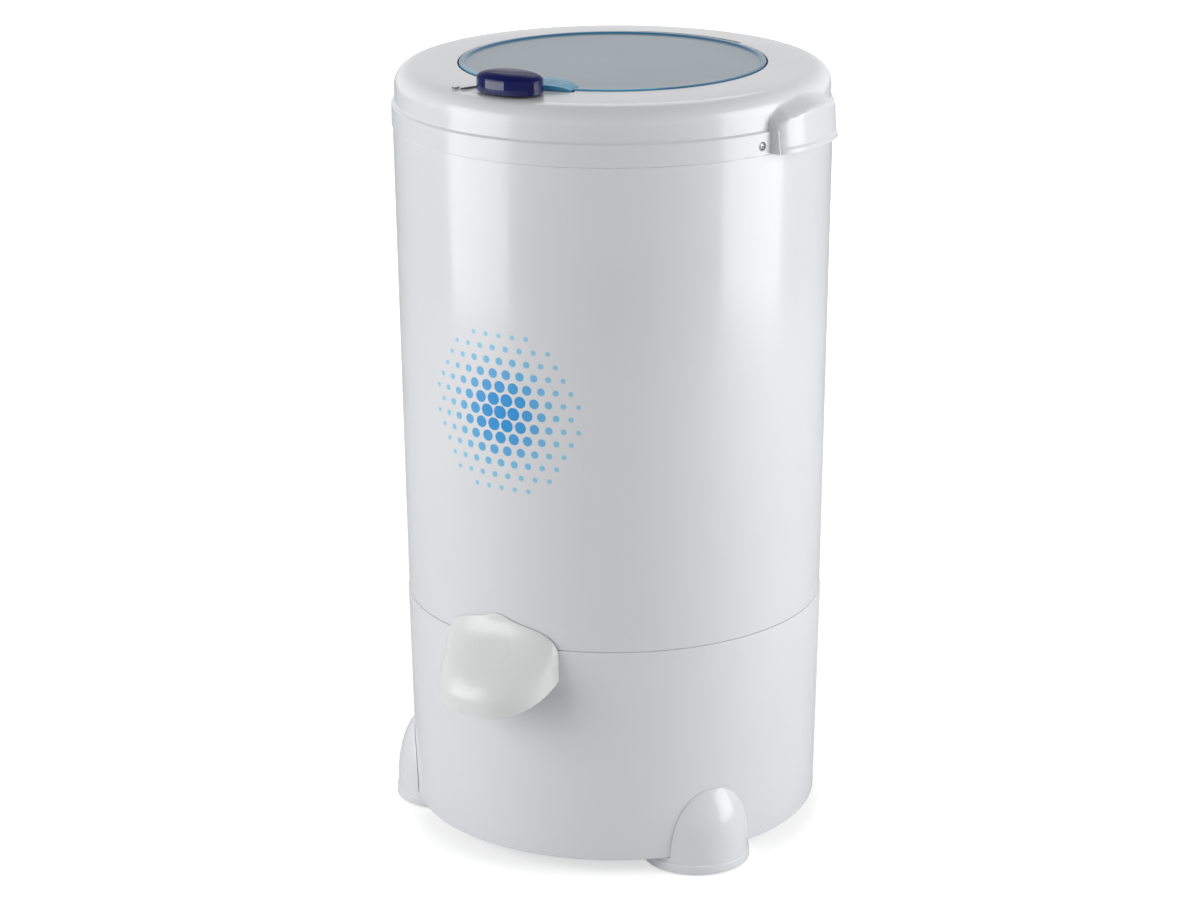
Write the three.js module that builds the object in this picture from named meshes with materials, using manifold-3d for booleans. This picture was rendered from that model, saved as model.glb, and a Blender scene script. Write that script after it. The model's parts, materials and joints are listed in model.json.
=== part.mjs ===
// Laundry spin dryer, in millimetres. +Z is up, the front faces -Y and the floor is at z = 0.
import * as THREE from 'three';
import Module from 'manifold-3d';
import { mergeVertices } from 'three/addons/utils/BufferGeometryUtils.js';

const wasm = await Module();
wasm.setup();

// ---------- Driving dimensions ----------

// Casing
const casingBottom = 13;
const seamHeight = 187;
const coverSeam = 565;
const lowerRadiusBottom = 162.5;
const lowerRadiusSeam = 165.9;
const upperRadiusSeam = 165.2;
const upperRadiusTop = 170;
const wall = 2.5;
const floorThickness = 3;
const fit = 0.3;
const lipHeight = 8;
const lipThickness = 2.2;
const ledgeHeight = 16;
const ledgeThickness = 3;
const ledgeInnerRadius = 158.5;
const ventCount = 16;
const ventWidth = 6;
const ventInnerRadius = 60;
const ventOuterRadius = 96;
const floorHoleRadius = 26;

// Top cover
const coverHeight = 46.3;
const bandHeight = 17;
const bandRadius = 170.8;
const coverSideRadius = 168.3;
const shoulderRadius = 15;
const topFall = 1.6;
const lidRecessRadius = 119.3;
const lidRecessDepth = 7.3;
const neckRadius = 105.8;
const neckDepth = 42;
const coverLipDepth = 9;

// Carrying grips
const gripHalfWidth = 46;
const gripReach = 182.8;
const gripHeight = 33;
const gripBead = 1.7;
const gripArchDrop = 4;
const gripCorner = 13;

// Cover screws
const screwAngle = 17.5;
const screwHeight = 7;
const screwHeadRadius = 3;
const screwShankRadius = 1.5;
const counterbore = 1.8;
const screwLength = 11;

// Lid
const lidRadius = 118.2;
const lidPlate = 2.5;
const lidRimWidth = 4.2;
const lidRimHeight = 7.1;
const lidRise = 0.7;
const lidSkirtRadius = 103.5;
const lidSkirtDepth = 11;
const sealInnerRadius = 106.2;
const sealWidth = 2.3;
const tabHalfAngle = 20;
const tabInnerRadius = 88;
const tabOuterRadius = 124;
const tabRise = 3.2;
const tabRibs = 5;
const hingeOffset = 111;
const hingeDrop = 2.7;
const hingeSwing = 8.5;
const hingePocketRadius = 124;
const hingePocketHalf = 49;
const hingeTrimHalf = 28;
const pinRadius = 1.3;
const pinLength = 23;
const pinStart = 31;

// Lid lock knob
const knobOffset = 141;
const knobLength = 54;
const knobWidth = 34;
const knobSide = 10.5;
const knobHeight = 16;
const knobWall = 2.2;
const knobTurn = 60;
const stemRadius = 5;
const latchReach = 30;
const latchThickness = 5;
const latchWidth = 7;
const hookThickness = 3;
const hookFoot = 5;
const plungerTravel = 3;
const switchCamRadius = 9;
const camLobe = 76;

// Spout hood
const hoodHalfWidth = 50;
const hoodShoulder = 183;
const hoodTop = 210;
const hoodTipReach = 206.5;
const hoodTipHeight = 139;
const hoodBackHeight = 163;

// Feet
const footCount = 3;
const footAngle = 60;
const footOffset = 137.5;
const footRadius = 42;
const footFlange = 8.5;
const footClearance = 1.2;
const footHeight = 66.5;
const footHalfWidth = 35.5;
const footWall = 3;
const padRadius = 16;
const padHeight = 4.5;

// Tub
const tubRadius = 146;
const tubWall = 3;
const tubFloor = 205;
const tubUpstand = 26;
const tubFlange = 3;
const tubCollarRadius = 41;
const tubCollarHeight = 14;
const splashPlate = 2.5;
const splashCollar = 19;
const splashLip = 5;
const spigotOffset = 128;
const spigotRadius = 6.5;
const spigotBore = 4.7;
const spigotLength = 15;
const hoseWall = 1.8;
const hoseSlack = 0.7;
const hoseHeight = 168.5;
const hoseBend = 14;
const hoseOutlet = 186;
const hoseEnd = 150;

// Basket
const drumRadius = 123;
const drumSheet = 1.2;
const drumFloor = 236;
const drumTop = 541;
const drumMouthRadius = 107;
const drumShoulder = 12;
const holeRadius = 3;
const holeRows = 4;
const holesPerRow = 16;
const firstHoleRow = 40;
const holeRowPitch = 62;
const drumFacets = 32;
const coneTopRadius = 32;
const coneBottomRadius = 60;
const coneHeight = 35;

// Drive
const mountRadius = 112;
const postHeight = 133;
const postRadius = 11;
const rubberHeight = 14;
const rubberRadius = 11;
const bracketThickness = 3;
const bracketReach = 126;
const bracketArm = 34;
const motorRadius = 54;
const capHeight = 30;
const capWall = 3.5;
const capWindows = 4;
const statorHeight = 48;
const slotCount = 8;
const slotRadius = 4;
const slotCircle = 38;
const rotorRadius = 30.5;
const airGap = 0.6;
const coilRise = 11;
const coilWidth = 9;
const shaftRadius = 8;
const bearingRadius = 16;
const bearingHeight = 11;
const fanRadius = 44;
const fanBlades = 8;
const fanHeight = 12;
const fanLift = 30;
const brakeDrumRadius = 36;
const brakeDrumHeight = 16;
const brakeDrumLift = 6;
const capacitorRadius = 17.5;
const capacitorHeight = 72;
const capacitorAngle = 120;
const inletAngle = 140;
const inletHeight = 62;

// Brake linkage
const shoeThickness = 4.7;
const shoeHalfAngle = 22;
const leverLength = 105;
const leverWidth = 10;
const leverThickness = 6;
const cableRadius = 2.5;
const wireRadius = 0.8;

// Facets round the casing, the drive and the small round pieces
const around = 36;
const aroundTub = 30;
const aroundDrive = 18;
const aroundSmall = 12;

// ---------- Derived places ----------

const coverTop = coverSeam + coverHeight;
const bandTop = coverSeam + bandHeight;
const ledgeTop = coverSeam - ledgeHeight;
const tubFlangeBottom = ledgeTop + fit;
const tubFlangeTop = tubFlangeBottom + tubFlange;
const coverInnerRadius = bandRadius - wall - 3;
const tubUpstandRadius = coverInnerRadius - fit - 0.8;
const splashBottom = tubFlangeTop + fit;
const splashTop = splashBottom + splashPlate;
const splashCollarRadius = neckRadius + wall + 0.6;
const recessFloor = coverTop - lidRecessDepth;
const lidTop = coverTop + lidRise;
const lidRimBottom = lidTop - lidRimHeight;
const hingeHeight = lidTop - hingeDrop;
const plateTop = lidTop - 1.5;
const plateBottom = plateTop - lidPlate;
const knobBottom = coverTop + 0.5;
const bracketBottom = casingBottom + postHeight + fit + rubberHeight + fit;
const bracketTop = bracketBottom + bracketThickness;
const motorTop = bracketBottom - fit;
const capBottom = motorTop - capHeight;
const statorTop = capBottom - fit;
const statorBottom = statorTop - statorHeight;
const lowerCapTop = statorBottom - fit;
const motorBottom = lowerCapTop - capHeight;
const brakeDrumBottom = bracketTop + brakeDrumLift;
const hubTop = drumFloor + coneHeight;
const switchFar = 46;
const switchNear = 18;
const latchBottom = coverTop - 23;
const hookBottom = latchBottom - 1.5 - hookFoot;
const camBottom = latchBottom - 13;
const switchTop = camBottom + 11.7;

// Radius of the lower and of the upper casing at a height
function lowerRadius(z) {
  const share = (z - casingBottom) / (seamHeight - casingBottom);
  return THREE.MathUtils.lerp(lowerRadiusBottom, lowerRadiusSeam, share);
}

function upperRadius(z) {
  const share = (z - seamHeight) / (coverSeam - seamHeight);
  return THREE.MathUtils.lerp(upperRadiusSeam, upperRadiusTop, share);
}

// ---------- Shape helpers ----------

// Turns a closed geometry into a solid whose faces point out.
function solid(geometry) {
  const bare = new THREE.BufferGeometry();
  bare.setAttribute('position', geometry.getAttribute('position').clone());
  if (geometry.index) bare.setIndex(geometry.index.clone());
  const merged = mergeVertices(bare, 1e-3);
  const position = merged.getAttribute('position');
  const a = new THREE.Vector3();
  const b = new THREE.Vector3();
  const c = new THREE.Vector3();
  const triangles = [];
  let volume = 0;
  for (let i = 0; i < merged.index.count; i += 3) {
    const [p, q, r] = [0, 1, 2].map((k) => merged.index.getX(i + k));
    if (p === q || q === r || r === p) continue;
    triangles.push([p, q, r]);
    a.fromBufferAttribute(position, p);
    b.fromBufferAttribute(position, q);
    c.fromBufferAttribute(position, r);
    volume += a.dot(b.cross(c));
  }
  const outward = volume > 0 ? triangles : triangles.map(([p, q, r]) => [p, r, q]);
  const mesh = new wasm.Mesh({
    numProp: 3,
    vertProperties: new Float32Array(position.array),
    triVerts: new Uint32Array(outward.flat()),
  });
  return new wasm.Manifold(mesh);
}

// Turns a solid back into a flat-shaded geometry.
function geometryOf(shape) {
  const mesh = shape.getMesh();
  const geometry = new THREE.BufferGeometry();
  geometry.setAttribute('position', new THREE.BufferAttribute(mesh.vertProperties, 3));
  geometry.setIndex(new THREE.BufferAttribute(mesh.triVerts, 1));
  const flat = geometry.toNonIndexed();
  flat.computeVertexNormals();
  return flat;
}

// Revolves a closed outline of [radius, height] points about the vertical axis.
function revolve(outline, segments = around) {
  const points = outline.map(([r, z]) => new THREE.Vector2(r, z));
  const onAxis = outline[0][0] === 0 && outline[outline.length - 1][0] === 0;
  if (!onAxis) points.push(points[0].clone());
  const geometry = new THREE.LatheGeometry(points, segments);
  geometry.rotateX(Math.PI / 2);
  return solid(geometry);
}

// Points of an arc in an outline, from one angle to another in degrees.
function arc(centre, height, radius, from, to, steps) {
  return Array.from({ length: steps + 1 }, (_, i) => {
    const angle = THREE.MathUtils.degToRad(THREE.MathUtils.lerp(from, to, i / steps));
    return [centre + radius * Math.cos(angle), height + radius * Math.sin(angle)];
  });
}

function prism(points, low, high) {
  const shape = new THREE.Shape(points.map(([x, y]) => new THREE.Vector2(x, y)));
  const geometry = new THREE.ExtrudeGeometry(shape, { depth: high - low, bevelEnabled: false });
  geometry.translate(0, 0, low);
  return solid(geometry);
}

function block(x0, x1, y0, y1, z0, z1) {
  const geometry = new THREE.BoxGeometry(x1 - x0, y1 - y0, z1 - z0);
  geometry.translate((x0 + x1) / 2, (y0 + y1) / 2, (z0 + z1) / 2);
  return solid(geometry);
}

// Cylinder along X, Y or Z between two places on that axis.
function rod(axis, radius, from, to, x, y, z, segments = aroundSmall) {
  const geometry = new THREE.CylinderGeometry(radius, radius, to - from, segments);
  geometry.translate(0, (from + to) / 2, 0);
  if (axis === 'x') geometry.rotateZ(-Math.PI / 2);
  if (axis === 'z') geometry.rotateX(Math.PI / 2);
  geometry.translate(x, y, z);
  return solid(geometry);
}

function polar(radius, degrees) {
  const angle = THREE.MathUtils.degToRad(degrees);
  return [radius * Math.sin(angle), -radius * Math.cos(angle)];
}

// Sector about the front, between two radii.
function sector(halfAngle, inner, outer, low, high, centre = 0) {
  const steps = 8;
  const angles = Array.from({ length: steps + 1 }, (_, i) => centre - halfAngle + (2 * halfAngle * i) / steps);
  const rim = angles.map((angle) => polar(outer, angle));
  const root = angles.map((angle) => polar(inner, angle)).reverse();
  return prism([...rim, ...root], low, high);
}

function oval(halfLength, halfWidth, exponent, count, scale = 1) {
  return Array.from({ length: count }, (_, i) => {
    const angle = (2 * Math.PI * i) / count;
    const x = Math.sign(Math.cos(angle)) * Math.abs(Math.cos(angle)) ** (2 / exponent);
    const y = Math.sign(Math.sin(angle)) * Math.abs(Math.sin(angle)) ** (2 / exponent);
    return [halfLength * scale * x, halfWidth * scale * y];
  });
}

// Skins a stack of rings of [x, y, z] points and closes both ends.
function loft(rings) {
  const count = rings[0].length;
  const vertices = rings.flat();
  const triangles = [];
  for (let level = 0; level + 1 < rings.length; level += 1) {
    for (let i = 0; i < count; i += 1) {
      const next = (i + 1) % count;
      const low = level * count;
      const high = low + count;
      triangles.push(low + i, low + next, high + next, low + i, high + next, high + i);
    }
  }
  [0, rings.length - 1].forEach((level) => {
    const ring = rings[level];
    const middle = [0, 1, 2].map((k) => ring.reduce((sum, point) => sum + point[k], 0) / count);
    vertices.push(middle);
    for (let i = 0; i < count; i += 1) {
      const first = level * count + i;
      const second = level * count + ((i + 1) % count);
      const edge = level === 0 ? [second, first] : [first, second];
      triangles.push(...edge, vertices.length - 1);
    }
  });
  const geometry = new THREE.BufferGeometry();
  geometry.setAttribute('position', new THREE.Float32BufferAttribute(vertices.flat(), 3));
  geometry.setIndex(triangles);
  return solid(geometry);
}

// Sweeps a round tube, with a bore or solid, along a curve.
function tube(path, radius, bore, sides, steps) {
  const ring = oval(1, 1, 2, sides).map(([x, y]) => new THREE.Vector2(x, y));
  const shape = new THREE.Shape(ring.map((point) => point.clone().multiplyScalar(radius)));
  if (bore > 0) shape.holes.push(new THREE.Path(ring.map((point) => point.clone().multiplyScalar(bore))));
  return solid(new THREE.ExtrudeGeometry(shape, { steps, extrudePath: path }));
}

// ---------- Materials ----------

function finish(color, roughness, metalness = 0) {
  return new THREE.MeshStandardMaterial({ color, roughness, metalness });
}

const whitePlastic = finish(0xf2f3f5, 0.18);
const warmWhitePlastic = finish(0xe9ebea, 0.3);
const navyPlastic = finish(0x0c0f5c, 0.12);
const blackRubber = finish(0x1b1b1d, 0.8);
const greyRubber = finish(0x6e7276, 0.75);
const tubPlastic = finish(0xd9dbd8, 0.5);
const stainless = finish(0xc4c7ca, 0.3, 1);
const zincSteel = finish(0xa9adb0, 0.45, 1);
const castAluminium = finish(0xb5b8ba, 0.5, 1);
const copper = finish(0xb0643a, 0.45, 1);
const laminations = finish(0x5b5e62, 0.6, 1);
const blackPlastic = finish(0x202124, 0.5);
const frictionPad = finish(0x3d3027, 0.9);
const lidPlastic = new THREE.MeshStandardMaterial({
  color: 0x8fc4dc,
  roughness: 0.1,
  transparent: true,
  opacity: 0.5,
});

// ---------- Casing ----------

function lowerShell() {
  const lipRadius = upperRadiusSeam - wall - fit;
  const floorTop = casingBottom + floorThickness;
  const joggle = seamHeight - 9;
  let shell = revolve([
    [lowerRadiusBottom - 1, casingBottom],
    [lowerRadiusBottom, casingBottom + 1],
    [lowerRadiusSeam, seamHeight],
    [lipRadius, seamHeight],
    [lipRadius, seamHeight + lipHeight],
    [lipRadius - lipThickness, seamHeight + lipHeight],
    [lipRadius - lipThickness, seamHeight - 4],
    [lowerRadius(joggle) - wall, joggle],
    [lowerRadius(floorTop) - wall, floorTop],
    [floorHoleRadius, floorTop],
    [floorHoleRadius, casingBottom],
  ]);
  for (let i = 0; i < ventCount; i += 1) {
    const vent = new THREE.BoxGeometry(ventWidth, ventOuterRadius - ventInnerRadius, 3 * floorThickness);
    vent.translate(0, (ventInnerRadius + ventOuterRadius) / 2, casingBottom);
    vent.rotateZ(((i + 0.5) * 2 * Math.PI) / ventCount);
    shell = shell.subtract(solid(vent));
  }
  for (let i = 0; i < footCount; i += 1) {
    const angle = footAngle + (360 * i) / footCount;
    const [x, y] = polar(mountRadius, angle);
    const post = rod('z', postRadius, casingBottom + 1, casingBottom + postHeight, x, y, 0, 16);
    const rib = new THREE.BoxGeometry(wall, lowerRadiusBottom - wall / 2 - mountRadius, 0.6 * postHeight);
    rib.translate(0, -(lowerRadiusBottom - wall / 2 + mountRadius) / 2, casingBottom + 0.3 * postHeight + 1);
    rib.rotateZ(THREE.MathUtils.degToRad(angle));
    shell = shell.add(post).add(solid(rib));
  }
  const hoseHole = rod('y', hoseRadius() + fit, -2 * lowerRadiusSeam, -spigotOffset, 0, 0, hoseHeight);
  return shell.subtract(hoseHole).subtract(inletHole());
}

function hoseRadius() {
  return spigotRadius + hoseSlack + hoseWall;
}

function inletHole() {
  const hole = new THREE.CylinderGeometry(8, 8, 40, aroundSmall);
  hole.translate(0, -lowerRadiusBottom, inletHeight);
  hole.rotateZ(THREE.MathUtils.degToRad(inletAngle));
  return solid(hole);
}

function bodyShell() {
  const bottom = seamHeight + fit;
  const ledgeBottom = ledgeTop - ledgeThickness;
  const rampBottom = ledgeBottom - 12;
  return revolve([
    [upperRadius(bottom), bottom],
    [upperRadiusTop, coverSeam],
    [upperRadiusTop - wall, coverSeam],
    [upperRadius(ledgeTop) - wall, ledgeTop],
    [ledgeInnerRadius, ledgeTop],
    [ledgeInnerRadius, ledgeBottom],
    [upperRadius(rampBottom) - wall, rampBottom],
    [upperRadius(bottom) - wall, bottom],
  ]);
}

// Section of a grip: top slope, round shoulder, side and the bead along its lower edge.
function gripSection(inset, low) {
  const root = inset > 0 ? coverSideRadius + 0.2 : coverSideRadius - 1;
  const reach = gripReach - inset;
  const top = coverSeam + gripHeight - inset;
  const bead = [
    [reach + gripBead, low],
    [reach + gripBead, low + 4],
    [reach, low + 5.5],
  ];
  return [
    [root, low],
    ...(inset > 0 ? [[reach, low]] : bead),
    [reach - 0.6, top - 11],
    [reach - 3.4, top - 3.4],
    [reach - 8.5, top],
    [root, top + 2],
  ];
}

// Front outline of a grip, along Y and up, with round upper corners and an arched top.
function gripOutline(inset, low) {
  const half = gripHalfWidth - inset;
  const corner = gripCorner;
  const top = coverSeam + gripHeight + 2 - gripArchDrop - inset;
  const side = arc(half - corner, top - corner, corner, 0, 75, 3);
  const mirrored = side.map(([y, z]) => [-y, z]).reverse();
  return [[half, low], ...side, [0, top + gripArchDrop], ...mirrored, [-half, low]];
}

function gripSolid(inset, low) {
  const shape = new THREE.Shape(gripOutline(inset, low).map(([y, z]) => new THREE.Vector2(y, z)));
  const arch = new THREE.ExtrudeGeometry(shape, { depth: 4 * wall + gripReach, bevelEnabled: false });
  arch.rotateX(Math.PI / 2);
  arch.rotateZ(Math.PI / 2);
  return revolve(gripSection(inset, low)).intersect(solid(arch));
}

function coverOutline() {
  const bottom = coverSeam + fit;
  const lipRadius = upperRadiusTop - wall - fit;
  const lipBottom = coverSeam - coverLipDepth;
  const shoulderCentre = coverSideRadius - shoulderRadius;
  const shoulderHeight = coverTop - topFall - shoulderRadius;
  const inner = shoulderRadius - wall;
  return [
    [coverInnerRadius, lipBottom],
    [lipRadius, lipBottom],
    [lipRadius, bottom],
    [bandRadius, bottom],
    [bandRadius, bandTop - 1],
    [coverSideRadius, bandTop + 0.6],
    ...arc(shoulderCentre, shoulderHeight, shoulderRadius, 0, 88, 3),
    [lidRecessRadius + 0.8, coverTop],
    [lidRecessRadius, coverTop - 0.8],
    [lidRecessRadius, recessFloor],
    [neckRadius, recessFloor],
    [neckRadius - 1, coverTop - neckDepth],
    [neckRadius - 1 + wall - 0.6, coverTop - neckDepth],
    [neckRadius + wall, recessFloor - wall],
    [lidRecessRadius + wall, recessFloor - wall],
    [lidRecessRadius + wall, coverTop - 3],
    ...arc(shoulderCentre, shoulderHeight, inner, 88, 0, 2),
    [coverInnerRadius, bandTop - 2],
  ];
}

function screwHole(angle) {
  const shank = new THREE.CylinderGeometry(screwShankRadius + fit, screwShankRadius + fit, 40, 8);
  shank.translate(0, -bandRadius, 0);
  const seat = new THREE.CylinderGeometry(screwHeadRadius + 0.4, screwHeadRadius + 0.4, 20, 10);
  seat.translate(0, -bandRadius - 10 + counterbore, 0);
  return [shank, seat].map((geometry) => {
    geometry.translate(0, 0, coverSeam + screwHeight);
    geometry.rotateZ(THREE.MathUtils.degToRad(angle));
    return solid(geometry);
  });
}

const screwAngles = [90 - screwAngle, 90 + screwAngle, -90 + screwAngle, -90 - screwAngle];

function topCover() {
  const gripBottom = coverSeam + fit;
  const bayFloor = coverTop - 3.3;
  let cover = hingePocket(revolve(coverOutline()));
  cover = cover.add(sector(tabHalfAngle + 3, lidRecessRadius + 0.5, tabOuterRadius + 4, bayFloor - wall, coverTop - 2));
  cover = cover.subtract(sector(tabHalfAngle + 1.2, 100, tabOuterRadius + 1.2, bayFloor, coverTop + 5));
  cover = cover.subtract(block(-10.5, 12.5, hookBack() - 2.3, hookFront() + 0.8, recessFloor - 9, coverTop));
  cover = cover.add(rod('z', 9, coverTop - 14, coverTop - 1, 0, -knobOffset, 0));
  cover = cover.add(block(-switchFar, -switchFar + 11, -knobOffset - 7, -knobOffset + 7, switchTop + fit, coverTop - 2));
  cover = cover.subtract(rod('z', stemRadius + fit, coverTop - 30, coverTop + 5, 0, -knobOffset, 0));
  [0, 180].forEach((turn) => {
    cover = cover.add(turned(gripSolid(0, gripBottom), turn));
    cover = cover.subtract(turned(gripSolid(wall, gripBottom - 5), turn));
  });
  screwAngles.flatMap(screwHole).forEach((hole) => {
    cover = cover.subtract(hole);
  });
  return cover;
}

// Sinks the pocket in which the rear of the lid swings, and leaves a boss beside it for each pin.
function hingePocket(cover) {
  const floor = hingeHeight - hingeSwing;
  const inner = neckRadius + wall + fit;
  const half = hingePocketHalf;
  const tray = revolve([
    [inner - 1, floor - wall],
    [hingePocketRadius + wall, floor - wall],
    [hingePocketRadius + wall, coverTop - 1],
    [inner - 1, coverTop - 1],
  ]).intersect(block(-half - wall, half + wall, 90, 200, floor - wall, coverTop - 7.3));
  const skirt = revolve([
    [hingePocketRadius - 1, floor],
    [hingePocketRadius + wall, floor],
    [hingePocketRadius + wall, coverTop - 1],
    [hingePocketRadius - 1, coverTop - 1],
  ]).intersect(block(-half - wall, half + wall, 90, 200, floor - wall, coverTop));
  const cut = revolve([
    [inner, floor],
    [hingePocketRadius, floor],
    [hingePocketRadius, coverTop + 5],
    [inner, coverTop + 5],
  ]).intersect(block(-half, half, 98, 200, floor - 5, coverTop + 10));
  let pocketed = cover.add(tray).add(skirt);
  [-1, 1].forEach((side) => {
    const near = side > 0 ? half - 1 : -half - 7;
    pocketed = pocketed.add(block(near, near + 8, hingeOffset - 5, hingeOffset + 5, recessFloor - 1, coverTop - 0.3));
  });
  const recess = revolve([
    [0, recessFloor],
    [lidRecessRadius, recessFloor],
    [lidRecessRadius, coverTop + 5],
    [0, coverTop + 5],
  ]);
  pocketed = pocketed.subtract(cut).subtract(recess);
  [-1, 1].forEach((side) => {
    pocketed = pocketed.subtract(pinHole(side));
  });
  return pocketed;
}

// Bore of a hinge pin, through the lid's rim and the boss beside the pocket.
function pinHole(side) {
  const ends = [side * (pinStart - fit), side * (pinStart + pinLength + fit)].sort((a, b) => a - b);
  return rod('x', pinRadius + fit, ends[0], ends[1], 0, hingeOffset, hingeHeight, 8);
}

// ---------- Lid ----------

function hookFront() {
  return -(lidRadius - lidRimWidth - 4);
}

function hookBack() {
  return hookFront() - hookThickness;
}

function lidWindow() {
  const rimInner = lidRadius - lidRimWidth;
  let lid = revolve([
    [0, plateBottom],
    [lidSkirtRadius - wall, plateBottom],
    [lidSkirtRadius - wall, plateBottom - lidSkirtDepth],
    [lidSkirtRadius, plateBottom - lidSkirtDepth],
    [lidSkirtRadius, plateBottom],
    [rimInner, plateBottom],
    [rimInner, lidRimBottom],
    [lidRadius, lidRimBottom],
    [lidRadius, lidTop - 0.8],
    [lidRadius - 0.8, lidTop],
    [rimInner, lidTop],
    [rimInner - 1, plateTop],
    [0, plateTop],
  ]);
  lid = lid.add(fingerTab());
  lid = lid.subtract(block(-hingeTrimHalf, hingeTrimHalf, hingeOffset - 1, 200, 0, plateBottom));
  [-1, 1].forEach((side) => {
    lid = lid.subtract(pinHole(side));
  });
  const sweepSteps = 6;
  for (let i = 0; i <= sweepSteps; i += 1) {
    const turned = THREE.MathUtils.degToRad((-knobTurn * i) / sweepSteps);
    const outline = oval(knobLength / 2 + 1, knobWidth / 2 + 1, 2.2, 24).map(([x, y]) => [
      x * Math.cos(turned) - y * Math.sin(turned),
      x * Math.sin(turned) + y * Math.cos(turned) - knobOffset,
    ]);
    lid = lid.subtract(prism(outline, lidRimBottom - 5, lidTop + 10));
  }
  return lid;
}

// Ribbed finger tab: a ring of ribs cut down to a sector at the front of the lid.
function fingerTab() {
  const top = lidTop + tabRise;
  const bottom = coverTop - 2.7;
  const ribStart = tabInnerRadius + 10;
  const pitch = (tabOuterRadius - 2 - ribStart) / tabRibs;
  const ribs = Array.from({ length: tabRibs }, (_, i) => {
    const r = ribStart + i * pitch;
    const rise = (top - 1) + i * (1 / tabRibs);
    return [
      [r, rise - 0.9],
      [r + 0.35 * pitch, rise],
      [r + 0.7 * pitch, rise],
    ];
  }).flat();
  const ring = revolve([
    [tabInnerRadius, plateTop - 1],
    [tabInnerRadius, plateTop + 0.2],
    [ribStart - 3, top - 2.4],
    ...ribs,
    [tabOuterRadius - 1, top],
    [tabOuterRadius, top - 1],
    [tabOuterRadius, bottom],
    [lidRadius - 1, bottom],
    [lidRadius - 1, plateTop - 1],
  ]);
  return ring.intersect(sector(tabHalfAngle, 40, tabOuterRadius + 10, bottom - 2, top + 5));
}

function lidSeal() {
  const bottom = recessFloor + fit;
  const top = plateBottom - fit;
  return revolve([
    [sealInnerRadius, bottom],
    [sealInnerRadius + sealWidth, bottom],
    [sealInnerRadius + sealWidth, top],
    [sealInnerRadius, top],
  ], aroundTub);
}

function lidHook() {
  const top = plateBottom - fit;
  const stem = block(5, 11, hookBack(), hookFront(), hookBottom, top);
  const foot = block(-9, 11, hookBack(), hookFront(), hookBottom, hookBottom + hookFoot);
  const head = block(-4, 11, hookBack() + 0.2, hookFront(), top - 3, top);
  return stem.add(foot).add(head);
}

function hingePin() {
  const shape = revolve([
    [0, 0],
    [pinRadius, 0],
    [pinRadius, pinLength],
    [0, pinLength],
  ], 8);
  return shape;
}

// ---------- Knob and latch ----------

function knobRings(inset) {
  const levels = [
    [0, 1],
    [knobSide - 0.5, 1],
    [knobSide + 0.5, 0.96],
    [knobSide + 3.4, 0.74],
    [knobHeight, 0.25],
  ];
  return levels.map(([height, scale]) => {
    const z = knobBottom + height - (inset > 0 ? inset + 0.01 * height : 0);
    const outline = oval(knobLength / 2 - inset, knobWidth / 2 - inset, 2.2, 24, scale);
    return outline.map(([x, y]) => [x, y - knobOffset, z]);
  });
}

function knobCap() {
  const shell = loft(knobRings(0)).subtract(loft(knobRings(knobWall)));
  const socket = rod('z', stemRadius + 2, knobBottom + 0.2, knobBottom + knobHeight - 1.4, 0, -knobOffset, 0, 12);
  const bore = rod('z', stemRadius + fit, knobBottom - 5, knobBottom + 9, 0, -knobOffset, 0, 12);
  return shell.add(socket).subtract(bore);
}

function knobStem() {
  const head = camBottom - fit;
  const stem = rod('z', stemRadius, head - 1, knobBottom + 9 - fit, 0, -knobOffset, 0, 12);
  return stem.add(rod('z', stemRadius + 2.5, head - 3, head, 0, -knobOffset, 0, 12));
}

// Spiral switch cam, latch bolt and cable horn on one hub.
function latchCam() {
  const hubRadius = stemRadius + 2.8;
  const steps = 8;
  const spiral = Array.from({ length: steps + 1 }, (_, i) => {
    const angle = 180 + (camLobe * i) / steps;
    const radius = switchCamRadius + plungerTravel * Math.min(1, (angle - 180) / knobTurn);
    const radians = THREE.MathUtils.degToRad(angle);
    return [radius * Math.cos(radians), radius * Math.sin(radians)];
  });
  const back = Array.from({ length: steps - 1 }, (_, i) => {
    const angle = THREE.MathUtils.degToRad(180 + camLobe + ((i + 1) * (360 - camLobe)) / steps);
    return [switchCamRadius * Math.cos(angle), switchCamRadius * Math.sin(angle)];
  });
  const cam = prism([...spiral, ...back], camBottom + 1, camBottom + 7);
  const hub = rod('z', hubRadius, camBottom, latchBottom + latchThickness + 1, 0, 0, 0, 12);
  const bolt = block(-latchWidth / 2, latchWidth / 2, 0, latchReach, latchBottom, latchBottom + latchThickness);
  const horn = block(-2.5, 2.5, 0, 15, camBottom + 7.5, camBottom + 11);
  const boltTurned = turned(bolt, knobTurn);
  const hornTurned = turned(horn, -150);
  const body = cam.add(hub).add(boltTurned).add(hornTurned);
  const bored = body.subtract(rod('z', stemRadius + fit, camBottom - 5, coverTop, 0, 0, 0, 12));
  return moved(bored, 0, -knobOffset, 0);
}

function turned(shape, degrees) {
  const geometry = geometryOf(shape).rotateZ(THREE.MathUtils.degToRad(degrees));
  return solid(geometry);
}

function moved(shape, x, y, z) {
  return solid(geometryOf(shape).translate(x, y, z));
}

const plungerTip = switchCamRadius + 0.9;

function switchBody() {
  const bottom = camBottom - 3;
  const box = block(-switchFar, -switchNear, -knobOffset - 8, -knobOffset + 8, bottom, switchTop);
  const bore = block(-switchNear - 14, -switchNear + 1, -knobOffset - 2.3, -knobOffset + 2.3, camBottom + 1.7, camBottom + 6.3);
  return box.subtract(bore);
}

function switchPlunger() {
  const half = 2;
  const middle = camBottom + 4;
  return block(-switchNear - 7, -plungerTip, -knobOffset - half, -knobOffset + half, middle - half, middle + half);
}

// ---------- Spout hood ----------

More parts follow.
